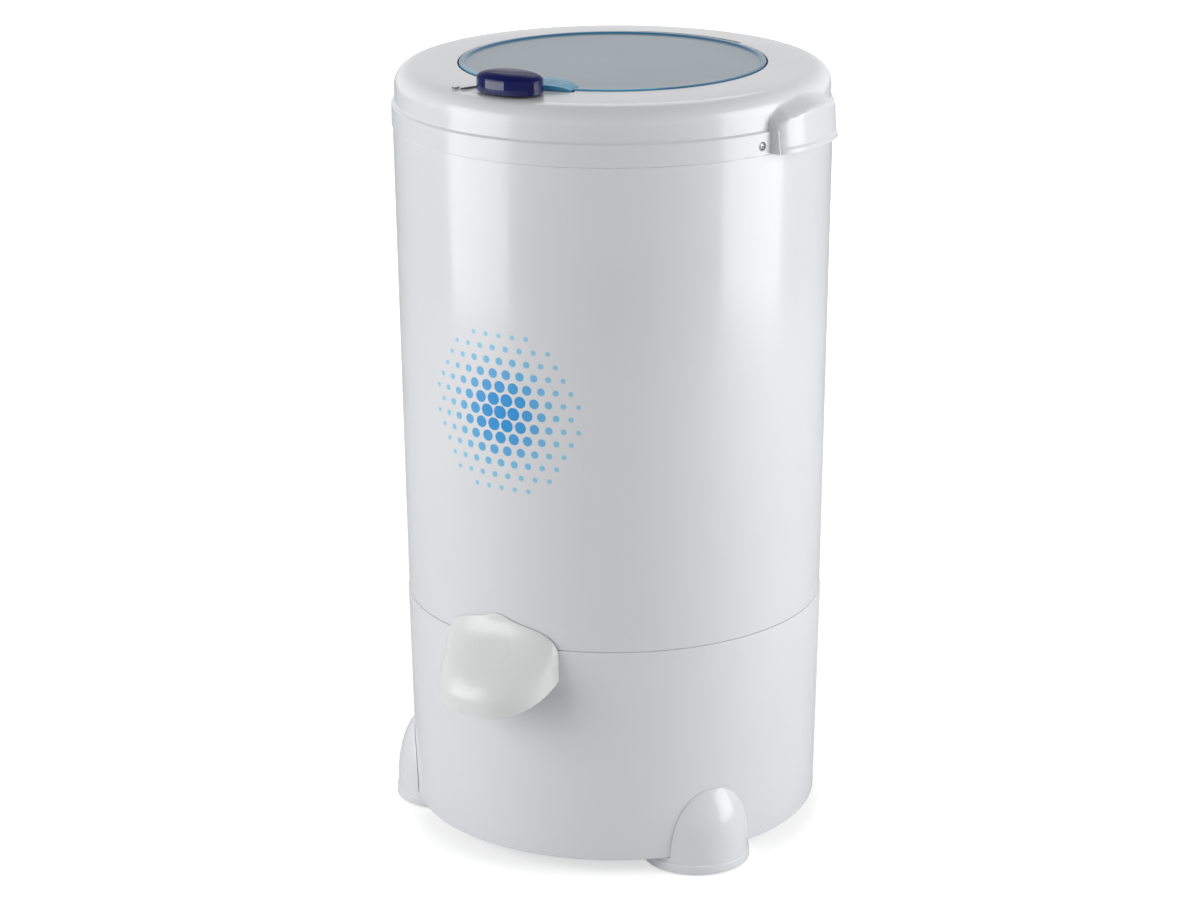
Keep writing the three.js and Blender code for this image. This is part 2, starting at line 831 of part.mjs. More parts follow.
// Reach of the beak at a height: near the casing at the top, then swinging out to the tip.
function hoodReach(z) {
  const low = hoodTipHeight + 11;
  const high = hoodTop - 4;
  const edge = upperRadiusSeam + 1.4;
  return edge + (hoodTipReach - edge) * (1 - THREE.MathUtils.smoothstep(z, low, high));
}

function hoodRing(z, inset) {
  const root = upperRadiusSeam - 8;
  const rise = Math.max(0, (z + inset - hoodShoulder) / (hoodTop - hoodShoulder));
  const half = Math.max(0.5, (hoodHalfWidth - inset) * (1 - Math.min(1, rise) ** 2.4) ** (1 / 2.4));
  const reach = hoodReach(z) - root - inset;
  const steps = 12;
  const front = Array.from({ length: steps + 1 }, (_, i) => {
    const angle = Math.PI * (i / steps - 0.5);
    const x = half * Math.sign(Math.sin(angle)) * Math.abs(Math.sin(angle)) ** (2 / 2.6);
    const y = -root - reach * Math.abs(Math.cos(angle)) ** (2 / 2.6);
    return [x, y, z];
  });
  return [...front, [half, 20 - root, z], [-half, 20 - root, z]];
}

function hoodSolid(inset) {
  const heights = [130, 154, 163, 172, 180, 188, 196, 203, 207.5, 209.7];
  const lift = hoodTop - 210;
  return loft(heights.map((z) => hoodRing(z + lift - inset, inset)));
}

function casingPlug() {
  const low = casingBottom + 60;
  const high = seamHeight + 80;
  return revolve([
    [0, low],
    [lowerRadius(low) + fit, low],
    [lowerRadiusSeam + fit, seamHeight + fit],
    [upperRadius(high) + fit, high],
    [0, high],
  ]);
}

function spoutHood() {
  const slope = (hoodBackHeight - hoodTipHeight) / (hoodTipReach - 157);
  const below = prism([
    [0, 60],
    [300, 60],
    [300, hoodBackHeight - slope * (300 - 157)],
    [0, hoodBackHeight + slope * 157],
  ], -100, 100);
  const trimmed = geometryOf(below);
  trimmed.applyMatrix4(new THREE.Matrix4().set(0, 0, 1, 0, -1, 0, 0, 0, 0, 1, 0, 0, 0, 0, 0, 1));
  const shell = hoodSolid(0).subtract(hoodSolid(wall));
  return shell.subtract(casingPlug()).subtract(solid(trimmed));
}

// ---------- Feet ----------

// One foot at the front of the casing: a round flange with a dome cut to a half-oval front.
function foot() {
  const base = footClearance;
  const flange = revolve([
    [0, base],
    [footRadius - 0.8, base],
    [footRadius, base + 0.8],
    [footRadius, footFlange - 0.8],
    [footRadius - 0.8, footFlange],
    [0, footFlange],
  ], aroundDrive);
  const domeOutline = [
    [0, base + 1],
    [footRadius - 1.2, base + 1],
    [footRadius - 1.4, 22],
    [footRadius - 4.4, 44],
    [footRadius - 10, 64],
    [0, 72],
  ];
  const inner = domeOutline.map(([r, z]) => [Math.max(0, r - footWall), z > base + 1 ? z - footWall : base - 5]);
  const dome = revolve(domeOutline, aroundDrive);
  const hollowDome = revolve(inner, aroundDrive);
  const seat = rod('z', padRadius + 6, base, casingBottom - fit, 0, 0, 0);
  const ring = revolve([
    [padRadius + 3.5, base - 1],
    [footRadius - footWall, base - 1],
    [footRadius - footWall, footFlange - 2],
    [padRadius + 3.5, footFlange - 2],
  ], aroundDrive);
  const hollow = hollowDome.intersect(footArch(footWall)).subtract(rod('z', padRadius + 3.5, -5, 90, 0, 0, 0));
  const cavity = moved(hollow, 0, -footOffset, 0).subtract(footCasing(footWall));
  let body = flange.add(dome.intersect(footArch(0))).add(seat).subtract(ring);
  body = moved(body, 0, -footOffset, 0).subtract(footCasing(0)).subtract(cavity);
  return body.subtract(rod('z', padRadius + fit, -5, padHeight + fit, 0, -footOffset, 0));
}

// Half-oval front of a foot, standing on the floor and reaching forward.
function footArch(inset) {
  const steps = inset > 0 ? 6 : 10;
  const half = footHalfWidth - inset;
  const rise = footHeight - inset - casingBottom;
  const front = Array.from({ length: steps + 1 }, (_, i) => {
    const angle = (Math.PI * i) / steps;
    return new THREE.Vector2(half * Math.cos(angle), casingBottom + rise * Math.sin(angle));
  });
  const shape = new THREE.Shape([new THREE.Vector2(half, -5), ...front, new THREE.Vector2(-half, -5)]);
  const arch = new THREE.ExtrudeGeometry(shape, { depth: 2 * footRadius, bevelEnabled: false });
  arch.rotateX(Math.PI / 2);
  return solid(arch);
}

// Space that the casing fills above a foot, grown by a wall where one stands between.
function footCasing(grow) {
  const low = casingBottom - fit - grow;
  return revolve([
    [0, low],
    [lowerRadiusBottom + fit + grow, low],
    [lowerRadius(100) + fit + grow, 100],
    [0, 100],
  ]);
}

function footPad() {
  return revolve([
    [0, 0],
    [padRadius - 1, 0],
    [padRadius, 1],
    [padRadius, padHeight],
    [0, padHeight],
  ], aroundSmall);
}

// ---------- Tub ----------

function waterTub() {
  const outer = tubRadius + tubWall;
  const floorTop = tubFloor + tubWall;
  const tub = revolve([
    [tubCollarRadius, tubFloor],
    [outer - 8, tubFloor],
    [outer, tubFloor + 8],
    [outer, tubFlangeBottom],
    [tubUpstandRadius, tubFlangeBottom],
    [tubUpstandRadius, tubFlangeTop + tubUpstand],
    [tubUpstandRadius - wall, tubFlangeTop + tubUpstand],
    [tubUpstandRadius - wall, tubFlangeTop],
    [tubRadius, tubFlangeTop],
    [tubRadius, floorTop + 7],
    [tubRadius - 7, floorTop],
    [tubCollarRadius + tubWall, floorTop],
    [tubCollarRadius + tubWall, tubFloor + tubCollarHeight],
    [tubCollarRadius, tubFloor + tubCollarHeight],
  ], aroundTub);
  const spigot = rod('z', spigotRadius, tubFloor - spigotLength, tubFloor + 1, 0, -spigotOffset, 0);
  const drain = rod('z', spigotBore, tubFloor - spigotLength - 5, floorTop + 5, 0, -spigotOffset, 0);
  let shape = tub.add(spigot).subtract(drain).subtract(cableHole());
  screwAngles.flatMap((angle) => screwHole(angle).slice(0, 1)).forEach((hole) => {
    shape = shape.subtract(hole);
  });
  return shape;
}

function cableHole() {
  const [x, y] = cableDrop;
  return rod('z', cableRadius + 0.7, ledgeTop - 5, splashTop + 5, x, y, 0, 12);
}

function splashRing() {
  const collarOuter = splashCollarRadius + wall;
  const ring = revolve([
    [splashCollarRadius, splashBottom - splashLip],
    [collarOuter, splashBottom - splashLip],
    [collarOuter, splashBottom],
    [tubUpstandRadius - wall - fit, splashBottom],
    [tubUpstandRadius - wall - fit, splashTop],
    [collarOuter, splashTop],
    [collarOuter, splashTop + splashCollar],
    [splashCollarRadius, splashTop + splashCollar],
  ], aroundTub);
  return ring.subtract(cableHole());
}

function neckSeal() {
  const bottom = splashTop + splashCollar + fit;
  const inner = neckRadius + 2.2;
  return revolve([
    [inner, bottom],
    [splashCollarRadius + wall + 1, bottom],
    [splashCollarRadius + wall + 1, bottom + 2],
    [inner, bottom + 5],
  ], aroundTub);
}

function shaftSeal() {
  const outer = tubCollarRadius - fit;
  const low = tubFloor + 1;
  return revolve([
    [shaftRadius + fit, low],
    [shaftRadius + 5, low],
    [shaftRadius + 6, low + 5],
    [outer - 5, low],
    [outer, low],
    [outer, low + 12],
    [shaftRadius + 6, low + 9],
    [shaftRadius + 4, low + 17],
    [shaftRadius + fit, low + 17],
  ], aroundDrive);
}

// Hose from the tub's spigot: down, forward through the casing and down again in the hood.
function drainHose() {
  const path = new THREE.CurvePath();
  const point = (y, z) => new THREE.Vector3(0, -y, z);
  const roundness = 0.5523;
  const bend = (start, corner, end) => new THREE.CubicBezierCurve3(
    start,
    start.clone().lerp(corner, roundness),
    end.clone().lerp(corner, roundness),
    end,
  );
  const top = point(spigotOffset, tubFloor - fit);
  const firstIn = point(spigotOffset, hoseHeight + hoseBend);
  const firstOut = point(spigotOffset + hoseBend, hoseHeight);
  const lastIn = point(hoseOutlet - hoseBend, hoseHeight);
  const lastOut = point(hoseOutlet, hoseHeight - hoseBend);
  path.add(new THREE.LineCurve3(top, firstIn));
  path.add(bend(firstIn, point(spigotOffset, hoseHeight), firstOut));
  path.add(new THREE.LineCurve3(firstOut, lastIn));
  path.add(bend(lastIn, point(hoseOutlet, hoseHeight), lastOut));
  path.add(new THREE.LineCurve3(lastOut, point(hoseOutlet, hoseEnd)));
  return tube(path, hoseRadius(), spigotRadius + hoseSlack, 10, 15);
}

// ---------- Basket ----------

function drumWall() {
  const inner = drumRadius - drumSheet;
  const centre = drumRadius - drumShoulder;
  const height = drumTop - drumShoulder;
  let drum = revolve([
    [drumRadius, drumFloor],
    ...arc(centre, height, drumShoulder, 0, 90, 3),
    [drumMouthRadius, drumTop],
    [drumMouthRadius, drumTop - drumSheet],
    ...arc(centre, height, drumShoulder - drumSheet, 90, 0, 3),
    [inner, drumFloor],
  ], drumFacets);
  const pitch = 360 / holesPerRow;
  for (let row = 0; row < holeRows; row += 1) {
    for (let i = 0; i < holesPerRow / 2; i += 1) {
      const height = drumFloor + firstHoleRow + row * holeRowPitch;
      const hole = new THREE.CylinderGeometry(holeRadius, holeRadius, 3 * drumRadius, 6);
      hole.translate(0, 0, height);
      hole.rotateZ(THREE.MathUtils.degToRad(pitch * (i + 0.25 + 0.5 * (row % 2))));
      drum = drum.subtract(solid(hole));
    }
  }
  return drum;
}

function drumBase() {
  const rim = drumRadius - drumSheet - fit;
  const low = drumFloor + 1.5;
  const sheet = 1.5;
  return revolve([
    [rim, low + 14],
    [rim, low],
    [coneBottomRadius, low],
    [coneTopRadius, hubTop],
    [shaftRadius + fit, hubTop],
    [shaftRadius + fit, hubTop + sheet],
    [coneTopRadius + 1, hubTop + sheet],
    [coneBottomRadius + 1, low + sheet],
    [rim - sheet, low + sheet],
    [rim - sheet, low + 14],
  ], drumFacets);
}

function drumHub() {
  const plateTopHeight = drumFloor + 1.5 - fit;
  return revolve([
    [shaftRadius + fit, drumFloor - 8],
    [26, drumFloor - 8],
    [30, drumFloor - 3],
    [80, drumFloor - 1.8],
    [80, plateTopHeight],
    [coneBottomRadius - 3, plateTopHeight],
    [coneTopRadius - 8, drumFloor + 10],
    [coneTopRadius - 10, hubTop - fit],
    [shaftRadius + fit, hubTop - fit],
  ], aroundDrive);
}

function hubNut() {
  const low = hubTop + 1.5 + fit;
  const hex = oval(14, 14, 2, 6);
  return prism(hex, low, low + 10).subtract(rod('z', shaftRadius + fit, low - 5, low + 20, 0, 0, 0));
}

function drumRim() {
  const inner = drumMouthRadius - 4;
  const outer = drumMouthRadius + 4;
  return revolve([
    [inner, drumTop - drumSheet - 2.5],
    [outer, drumTop - drumSheet - 2.5],
    [outer, drumTop - drumSheet - fit],
    [drumMouthRadius - fit, drumTop - drumSheet - fit],
    [drumMouthRadius - fit, drumTop + fit],
    [outer, drumTop + fit],
    [outer - 1, drumTop + 2.5],
    [inner, drumTop + 2.5],
  ], drumFacets);
}

// ---------- Drive ----------

function motorShaft() {
  const low = fanLift - 4;
  const high = hubTop + 14;
  return revolve([
    [0, low],
    [shaftRadius - 1, low],
    [shaftRadius, low + 1],
    [shaftRadius, high - 1],
    [shaftRadius - 1, high],
    [0, high],
  ], aroundSmall);
}

function motorCap() {
  return revolve([
    [motorRadius, 0],
    [motorRadius, capHeight],
    [shaftRadius + 4, capHeight],
    [shaftRadius + 4, capHeight - capWall],
    [bearingRadius + fit, capHeight - capWall],
    [bearingRadius + fit, capHeight - capWall - bearingHeight],
    [bearingRadius + 3.3, capHeight - capWall - bearingHeight],
    [bearingRadius + 3.3, capHeight - capWall],
    [motorRadius - capWall, capHeight - capWall],
    [motorRadius - capWall, 0],
  ], aroundDrive);
}

function ventedCap() {
  let cap = motorCap();
  for (let i = 0; i < capWindows; i += 1) {
    const window = new THREE.BoxGeometry(20, 20, 10);
    window.translate(0, motorRadius, capHeight / 2);
    window.rotateZ((i * 2 * Math.PI) / capWindows);
    cap = cap.subtract(solid(window));
  }
  return cap;
}

function bearing() {
  return revolve([
    [shaftRadius + fit, 0],
    [bearingRadius, 0],
    [bearingRadius, bearingHeight - 1],
    [shaftRadius + fit, bearingHeight - 1],
  ], aroundSmall);
}

function statorSlots(radius, low, high) {
  return Array.from({ length: slotCount }, (_, i) => {
    const [x, y] = polar(slotCircle, (360 * (i + 0.5)) / slotCount);
    return rod('z', radius, low, high, x, y, 0, 6);
  });
}

function motorStator() {
  let core = revolve([
    [rotorRadius + airGap, statorBottom],
    [motorRadius, statorBottom],
    [motorRadius, statorTop],
    [rotorRadius + airGap, statorTop],
  ], aroundDrive);
  statorSlots(slotRadius, statorBottom - 5, statorTop + 5).forEach((slot) => {
    core = core.subtract(slot);
  });
  return core;
}

function motorWindings() {
  const coil = (low, high) => revolve([
    [slotCircle - coilWidth / 2, low],
    [slotCircle + coilWidth / 2, low],
    [slotCircle + coilWidth / 2, high],
    [slotCircle - coilWidth / 2, high],
  ], aroundDrive);
  const top = coil(statorTop + fit, statorTop + fit + coilRise);
  let windings = top.add(coil(statorBottom - fit - coilRise, statorBottom - fit));
  statorSlots(slotRadius - fit, statorBottom - fit - 1, statorTop + fit + 1).forEach((bar) => {
    windings = windings.add(bar);
  });
  return windings;
}

function motorRotor() {
  return revolve([
    [shaftRadius + fit, statorBottom + 1],
    [rotorRadius, statorBottom + 1],
    [rotorRadius, statorTop - 1],
    [shaftRadius + fit, statorTop - 1],
  ], aroundDrive);
}

function motorBracket() {
  let plate = revolve([
    [shaftRadius + 8, bracketBottom],
    [motorRadius + 4, bracketBottom],
    [motorRadius + 4, bracketTop],
    [shaftRadius + 8, bracketTop],
  ], aroundDrive);
  for (let i = 0; i < footCount; i += 1) {
    const arm = block(-bracketArm / 2, bracketArm / 2, -bracketReach, -motorRadius + 10, bracketBottom, bracketTop);
    plate = plate.add(turned(arm, footAngle + (360 * i) / footCount));
  }
  const tab = block(anchorX - 4, anchorX, leverEnd - 8, leverEnd + 8, bracketBottom, leverMiddle + 6);
  const eye = rod('x', cableRadius + fit, anchorX - 10, anchorX + 10, 0, leverEnd, leverMiddle, 12);
  const [pinX, pinY] = leverPivot;
  const lug = rod('z', 20, bracketBottom, bracketTop, pinX, pinY, 0);
  const pinHole = rod('z', 3 + fit, bracketBottom - 5, bracketTop + 5, pinX, pinY, 0, 16);
  return plate.add(lug).add(tab).subtract(eye).subtract(pinHole);
}

function rubberMount() {
  const waist = rubberRadius - 2;
  return revolve([
    [0, 0],
    [rubberRadius, 0],
    [rubberRadius, 3],
    [waist, 5],
    [waist, rubberHeight - 5],
    [rubberRadius, rubberHeight - 3],
    [rubberRadius, rubberHeight],
    [0, rubberHeight],
  ], 16);
}

function brakeDrum() {
  const low = brakeDrumBottom;
  const high = low + brakeDrumHeight;
  return revolve([
    [shaftRadius + fit, low],
    [shaftRadius + 6, low],
    [shaftRadius + 6, high - 4],
    [brakeDrumRadius - 4, high - 4],
    [brakeDrumRadius - 4, low],
    [brakeDrumRadius, low],
    [brakeDrumRadius, high],
    [shaftRadius + fit, high],
  ], aroundDrive);
}

function coolingFan() {
  let fan = revolve([
    [shaftRadius + fit, fanLift],
    [shaftRadius + 6, fanLift],
    [shaftRadius + 6, fanLift + fanHeight - 2],
    [fanRadius, fanLift + fanHeight - 2],
    [fanRadius, fanLift + fanHeight],
    [shaftRadius + fit, fanLift + fanHeight],
  ], aroundDrive);
  for (let i = 0; i < fanBlades; i += 1) {
    const blade = block(-1, 1, shaftRadius + 5, fanRadius - 1, fanLift, fanLift + fanHeight - 1);
    fan = fan.add(turned(blade, (360 * i) / fanBlades));
  }
  return fan;
}

function capacitorCan() {
  return revolve([
    [0, 0],
    [capacitorRadius, 0],
    [capacitorRadius, capacitorHeight - 3],
    [capacitorRadius - 2, capacitorHeight],
    [5, capacitorHeight],
    [5, capacitorHeight + 5],
    [0, capacitorHeight + 5],
  ], aroundSmall);
}

function capacitorClamp() {
  return revolve([
    [capacitorRadius + fit, 0],
    [capacitorRadius + 9, 0],
    [capacitorRadius + 9, 2],
    [capacitorRadius + 2.5, 2],
    [capacitorRadius + 2.5, 24],
    [capacitorRadius + fit, 24],
  ], aroundSmall);
}

// Grommet of the mains lead, turned about the vertical here and laid along the wall later.
function cableInlet() {
  return revolve([
    [4.2, -8],
    [11, -8],
    [11, -wall - 1.4],
    [7.7, -wall - 1.4],
    [7.7, fit],
    [11, fit],
    [11, 2.5],
    [7, 6],
    [4.2, 6],
  ], aroundSmall);
}

// ---------- Brake linkage ----------

const leverInner = brakeDrumRadius + fit + shoeThickness + fit;
const leverPivot = [leverInner + leverWidth / 2, leverLength / 2 + 2];
const leverEnd = leverPivot[1] - leverLength;
const leverBottom = brakeDrumBottom + 2;
const leverMiddle = leverBottom + leverThickness / 2;
const anchorX = leverInner + leverWidth + 18;
const cableDrop = polar(154.4, 61.8);

function brakeLever() {
  const [x, y] = leverPivot;
  const bar = block(leverInner, leverInner + leverWidth, leverEnd - 5, y, leverBottom, leverBottom + leverThickness);
  const eye = rod('z', 9, leverBottom, leverBottom + leverThickness, x, y, 0);
  const pinHole = rod('z', 3 + fit, leverBottom - 5, leverBottom + 20, x, y, 0, 16);
  const notch = block(leverInner - 5, x + 20, leverEnd - 1.7, leverEnd + 1.7, leverMiddle - 1.5, leverBottom + 20);
  return bar.add(eye).subtract(pinHole).subtract(notch);
}

function brakeShoe() {
  const low = brakeDrumBottom + 1;
  return sector(shoeHalfAngle, brakeDrumRadius + fit, brakeDrumRadius + fit + shoeThickness, low, low + 10, 90);
}

function leverPin() {
  return revolve([
    [0, 0],
    [3, 0],
    [3, leverBottom + leverThickness + 7 - bracketBottom],
    [0, leverBottom + leverThickness + 7 - bracketBottom],
  ], 16);
}

// Torsion spring round the lever pin: a helix of round wire.
function brakeSpring() {
  const turns = 3;
  const wire = 0.7;
  const radius = 5.2;
  const pitch = 2 * wire + 0.5;
  class Helix extends THREE.Curve {
    getPoint(t, target = new THREE.Vector3()) {
      const angle = 2 * Math.PI * turns * t;
      return target.set(radius * Math.cos(angle), radius * Math.sin(angle), pitch * turns * t);
    }
  }
  const coil = tube(new Helix(), wire, 0, 5, 8 * turns);
  const [x, y] = leverPivot;
  return moved(coil, x, y, leverBottom + leverThickness + wire + fit);
}

function brakeCable() {
  const [dropX, dropY] = cableDrop;
  const hornY = -knobOffset - 13;
  const topZ = camBottom + 9.25;
  const overTub = (angle, radius) => [...polar(radius, angle), topZ];
  const points = [
    [anchorX - 4, leverEnd, leverMiddle],
    [anchorX + 12, leverEnd, leverMiddle],
    [anchorX + 34, leverEnd - 4, leverMiddle + 2],
    [dropX - 12, dropY + 14, leverMiddle + 10],
    [dropX - 1, dropY + 1, tubFloor + 6],
    [dropX, dropY, tubFloor + 60],
    [dropX, dropY, 0.5 * (tubFloor + coverSeam)],
    [dropX, dropY, ledgeTop - 60],
    [dropX, dropY, ledgeTop - 8],
    [dropX, dropY, splashTop + 8],
    [...polar(153.5, 57), topZ - 4],
    overTub(46, 153),
    overTub(32, 153.5),
    overTub(18, 156),
    [32, hornY, topZ],
  ];
  const path = new THREE.CatmullRomCurve3(points.map((p) => new THREE.Vector3(...p)), false, 'centripetal');
  const sheath = tube(path, cableRadius, 0, 6, 40);
  const lowerWire = rod('x', wireRadius, leverInner - 3, anchorX, 0, leverEnd, leverMiddle, 6);
  const nipple = rod('x', 1.9, leverInner - 4, leverInner - 1, 0, leverEnd, leverMiddle + 0.5, 6);
  const upperWire = rod('x', wireRadius, 12.5, 34, 0, hornY, topZ, 6);
  const eye = rod('z', 1.6, topZ - 1.6, topZ + 1.6, 12.5, hornY, 0, 6);
  return sheath.add(lowerWire).add(nipple).add(upperWire).add(eye);
}

// ---------- Fasteners ----------

// Pan head screw with a cross recess, its head facing +Z.
function coverScrew() {
  const screw = revolve([
    [0, -screwLength],
    [screwShankRadius, -screwLength],
    [screwShankRadius, 0],
    [screwHeadRadius, 0],
    [screwHeadRadius, 0.8],
    [0, 1.8],
  ], 8);
  const cross = block(-1.8, 1.8, -0.4, 0.4, 0.9, 3).add(block(-0.4, 0.4, -1.8, 1.8, 0.9, 3));
  return screw.subtract(cross);
}

// ---------- Assembly ----------

const product = new THREE.Group();
const housing = new THREE.Group();
product.add(housing);

function add(name, shape, material, position = [0, 0, 0], turn = 0, tilt = 0) {
  const mesh = new THREE.Mesh(geometryOf(shape), material);
  mesh.name = name;
  mesh.position.set(...position);
  mesh.rotation.order = 'ZXY';
  mesh.rotation.set(THREE.MathUtils.degToRad(tilt), 0, THREE.MathUtils.degToRad(turn));
  housing.add(mesh);
  return mesh;
}

add('lower_shell', lowerShell(), whitePlastic);
add('body_shell', bodyShell(), whitePlastic);
add('top_cover', topCover(), whitePlastic);
add('spout_hood', spoutHood(), warmWhitePlastic);

const footNames = ['front_right', 'rear', 'front_left'];
const footShape = foot();
footNames.forEach((name, i) => {
  const angle = footAngle + (360 * i) / footCount;
  const [x, y] = polar(footOffset, angle);
  add(`foot_${name}`, footShape, whitePlastic, [0, 0, 0], angle);
  add(`foot_pad_${name}`, footPad(), blackRubber, [x, y, 0]);
});

screwAngles.forEach((angle, i) => {
  const [x, y] = polar(bandRadius - 1.5, angle);
  add(`cover_screw_${i + 1}`, coverScrew(), zincSteel, [x, y, coverSeam + screwHeight], angle, 90);
});

add('lid_window', lidWindow(), lidPlastic);
add('lid_seal', lidSeal(), greyRubber);
add('lid_hook', lidHook(), whitePlastic);
['right', 'left'].forEach((name, i) => {
  const side = i === 0 ? 1 : -1;
  const pin = add(`hinge_pin_${name}`, hingePin(), zincSteel);
  pin.rotation.set(0, (side * Math.PI) / 2, 0);
  pin.position.set(side * pinStart, hingeOffset, hingeHeight);
});

add('knob_cap', knobCap(), navyPlastic);
add('knob_stem', knobStem(), blackPlastic);
add('latch_cam', latchCam(), blackPlastic);
add('switch_body', switchBody(), blackPlastic);
add('switch_plunger', switchPlunger(), warmWhitePlastic);

add('water_tub', waterTub(), tubPlastic);
add('splash_ring', splashRing(), tubPlastic);
add('neck_seal', neckSeal(), greyRubber);
add('shaft_seal', shaftSeal(), blackRubber);
add('drain_hose', drainHose(), blackRubber);

add('drum_wall', drumWall(), stainless);
add('drum_base', drumBase(), stainless);
add('drum_hub', drumHub(), castAluminium);
add('hub_nut', hubNut(), zincSteel);
add('drum_rim', drumRim(), tubPlastic);

add('motor_shaft', motorShaft(), zincSteel);
add('motor_rotor', motorRotor(), laminations);
add('motor_stator', motorStator(), laminations);
add('motor_windings', motorWindings(), copper);
add('motor_cap_upper', ventedCap(), castAluminium, [0, 0, capBottom]);
const lowerCap = add('motor_cap_lower', ventedCap(), castAluminium, [0, 0, lowerCapTop]);
lowerCap.rotation.set(Math.PI, 0, 0);
const bearingGap = capWall + bearingHeight - 1 + fit;
add('bearing_upper', bearing(), zincSteel, [0, 0, motorTop - bearingGap]);
add('bearing_lower', bearing(), zincSteel, [0, 0, motorBottom + capWall + fit]);
add('brake_drum', brakeDrum(), castAluminium);
add('cooling_fan', coolingFan(), blackPlastic);
add('motor_bracket', motorBracket(), zincSteel);
for (let i = 0; i < footCount; i += 1) {
  const [x, y] = polar(mountRadius, footAngle + (360 * i) / footCount);
  add(`rubber_mount_${i + 1}`, rubberMount(), blackRubber, [x, y, casingBottom + postHeight + fit]);
}

const floorTop = casingBottom + floorThickness;
const [capacitorX, capacitorY] = polar(126, capacitorAngle);
add('capacitor', capacitorCan(), blackPlastic, [capacitorX, capacitorY, floorTop + fit]);
add('capacitor_clamp', capacitorClamp(), zincSteel, [capacitorX, capacitorY, floorTop + fit]);
const [inletX, inletY] = polar(lowerRadius(inletHeight), inletAngle);
add('cable_inlet', cableInlet(), blackRubber, [inletX, inletY, inletHeight], inletAngle, 90);

add('brake_lever', brakeLever(), zincSteel);
add('brake_shoe', brakeShoe(), frictionPad);
add('lever_pin', leverPin(), zincSteel, [...leverPivot, bracketBottom]);
add('brake_spring', brakeSpring(), zincSteel);
add('brake_cable', brakeCable(), blackPlastic);

// The origin lies on the floor under the middle of the outline seen from above.
const outline = new THREE.Box3().setFromObject(product, true);
housing.position.y = -(outline.min.y + outline.max.y) / 2;

export default product;
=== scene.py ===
"""Looks of a laundry spin dryer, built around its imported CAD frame.

Laid out as an add-on: property groups hold sizes and colours, each operator builds one piece or one group
of like pieces, and the panel lists them. Lengths are in metres. The casing's axis is vertical, the front
faces -Y, and pieces are drawn about that axis and then moved to where the frame has it.
"""

import json
import math

import bmesh
import bpy
from bpy.types import Operator, Panel, PropertyGroup
from mathutils import Euler, Matrix, Vector


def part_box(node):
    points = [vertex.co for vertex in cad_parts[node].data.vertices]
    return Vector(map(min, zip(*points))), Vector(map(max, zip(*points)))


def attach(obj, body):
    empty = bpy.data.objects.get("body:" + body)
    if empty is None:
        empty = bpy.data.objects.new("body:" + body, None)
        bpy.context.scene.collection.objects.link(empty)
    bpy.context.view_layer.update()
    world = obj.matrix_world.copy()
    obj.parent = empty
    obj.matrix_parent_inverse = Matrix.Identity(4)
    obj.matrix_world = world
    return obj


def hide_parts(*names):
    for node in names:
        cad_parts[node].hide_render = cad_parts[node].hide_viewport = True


bl_info = {
    "name": "Spin dryer looks",
    "version": (1, 0, 0),
    "blender": (4, 5, 0),
    "location": "View3D > Sidebar > Spin dryer",
    "description": "Builds the visible pieces of a laundry spin dryer around its CAD frame",
    "category": "Object",
}

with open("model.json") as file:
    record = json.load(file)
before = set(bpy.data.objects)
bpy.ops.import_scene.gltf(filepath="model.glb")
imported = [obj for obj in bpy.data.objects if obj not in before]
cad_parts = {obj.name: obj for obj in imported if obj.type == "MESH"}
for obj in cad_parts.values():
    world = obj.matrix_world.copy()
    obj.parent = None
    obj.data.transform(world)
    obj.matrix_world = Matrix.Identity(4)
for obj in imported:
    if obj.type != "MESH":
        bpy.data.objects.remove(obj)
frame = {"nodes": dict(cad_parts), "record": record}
NODES = frame["nodes"]
SLOTS = {part["node"]: part["material_slot"] for part in frame["record"]["subparts"]}
MATERIALS = {}

MM = 0.001
ROUND = 216
SMALL_ROUND = 64
SHARP = math.radians(34)
MERGE = 2e-6


# ---------- Sizes and colours ----------


def length(name, description, millimetres):
    return bpy.props.FloatProperty(
        name=name, description=description, default=millimetres * MM, unit="LENGTH", subtype="DISTANCE"
    )


def turn(name, description, degrees):
    return bpy.props.FloatProperty(
        name=name, description=description, default=math.radians(degrees), unit="ROTATION", subtype="ANGLE"
    )


def colour(name, description, red, green, blue):
    return bpy.props.FloatVectorProperty(
        name=name, description=description, default=(red, green, blue), size=3, subtype="COLOR", min=0, max=1
    )


class CasingSizes(PropertyGroup):
    bottom: length("Bottom", "Height of the casing's lower edge", 13)
    seam: length("Seam", "Height of the seam between the two shells", 187)
    top: length("Top", "Height of the upper shell's top edge", 565)
    lower_radius: length("Lower radius", "Radius of the lower shell at its lower edge", 162.5)
    lower_seam_radius: length("Lower seam radius", "Radius of the lower shell at the seam", 165.9)
    upper_seam_radius: length("Upper seam radius", "Radius of the upper shell at the seam", 165.2)
    upper_radius: length("Upper radius", "Radius of the upper shell at its top", 170)
    wall: length("Wall", "Thickness of the moulded walls", 2.5)
    fit: length("Fit", "Gap between pieces that meet", 0.3)
    vent_width: length("Vent width", "Width of a slot in the floor", 6)
    vent_inner: length("Vent start", "Radius at which the floor slots start", 60)
    vent_outer: length("Vent end", "Radius at which the floor slots end", 96)
    hose_height: length("Hose height", "Height of the drain hose where it leaves the casing", 168.5)
    inlet_height: length("Inlet height", "Height of the cable inlet", 62)
    inlet_angle: turn("Inlet angle", "Angle of the cable inlet from the front", 140)


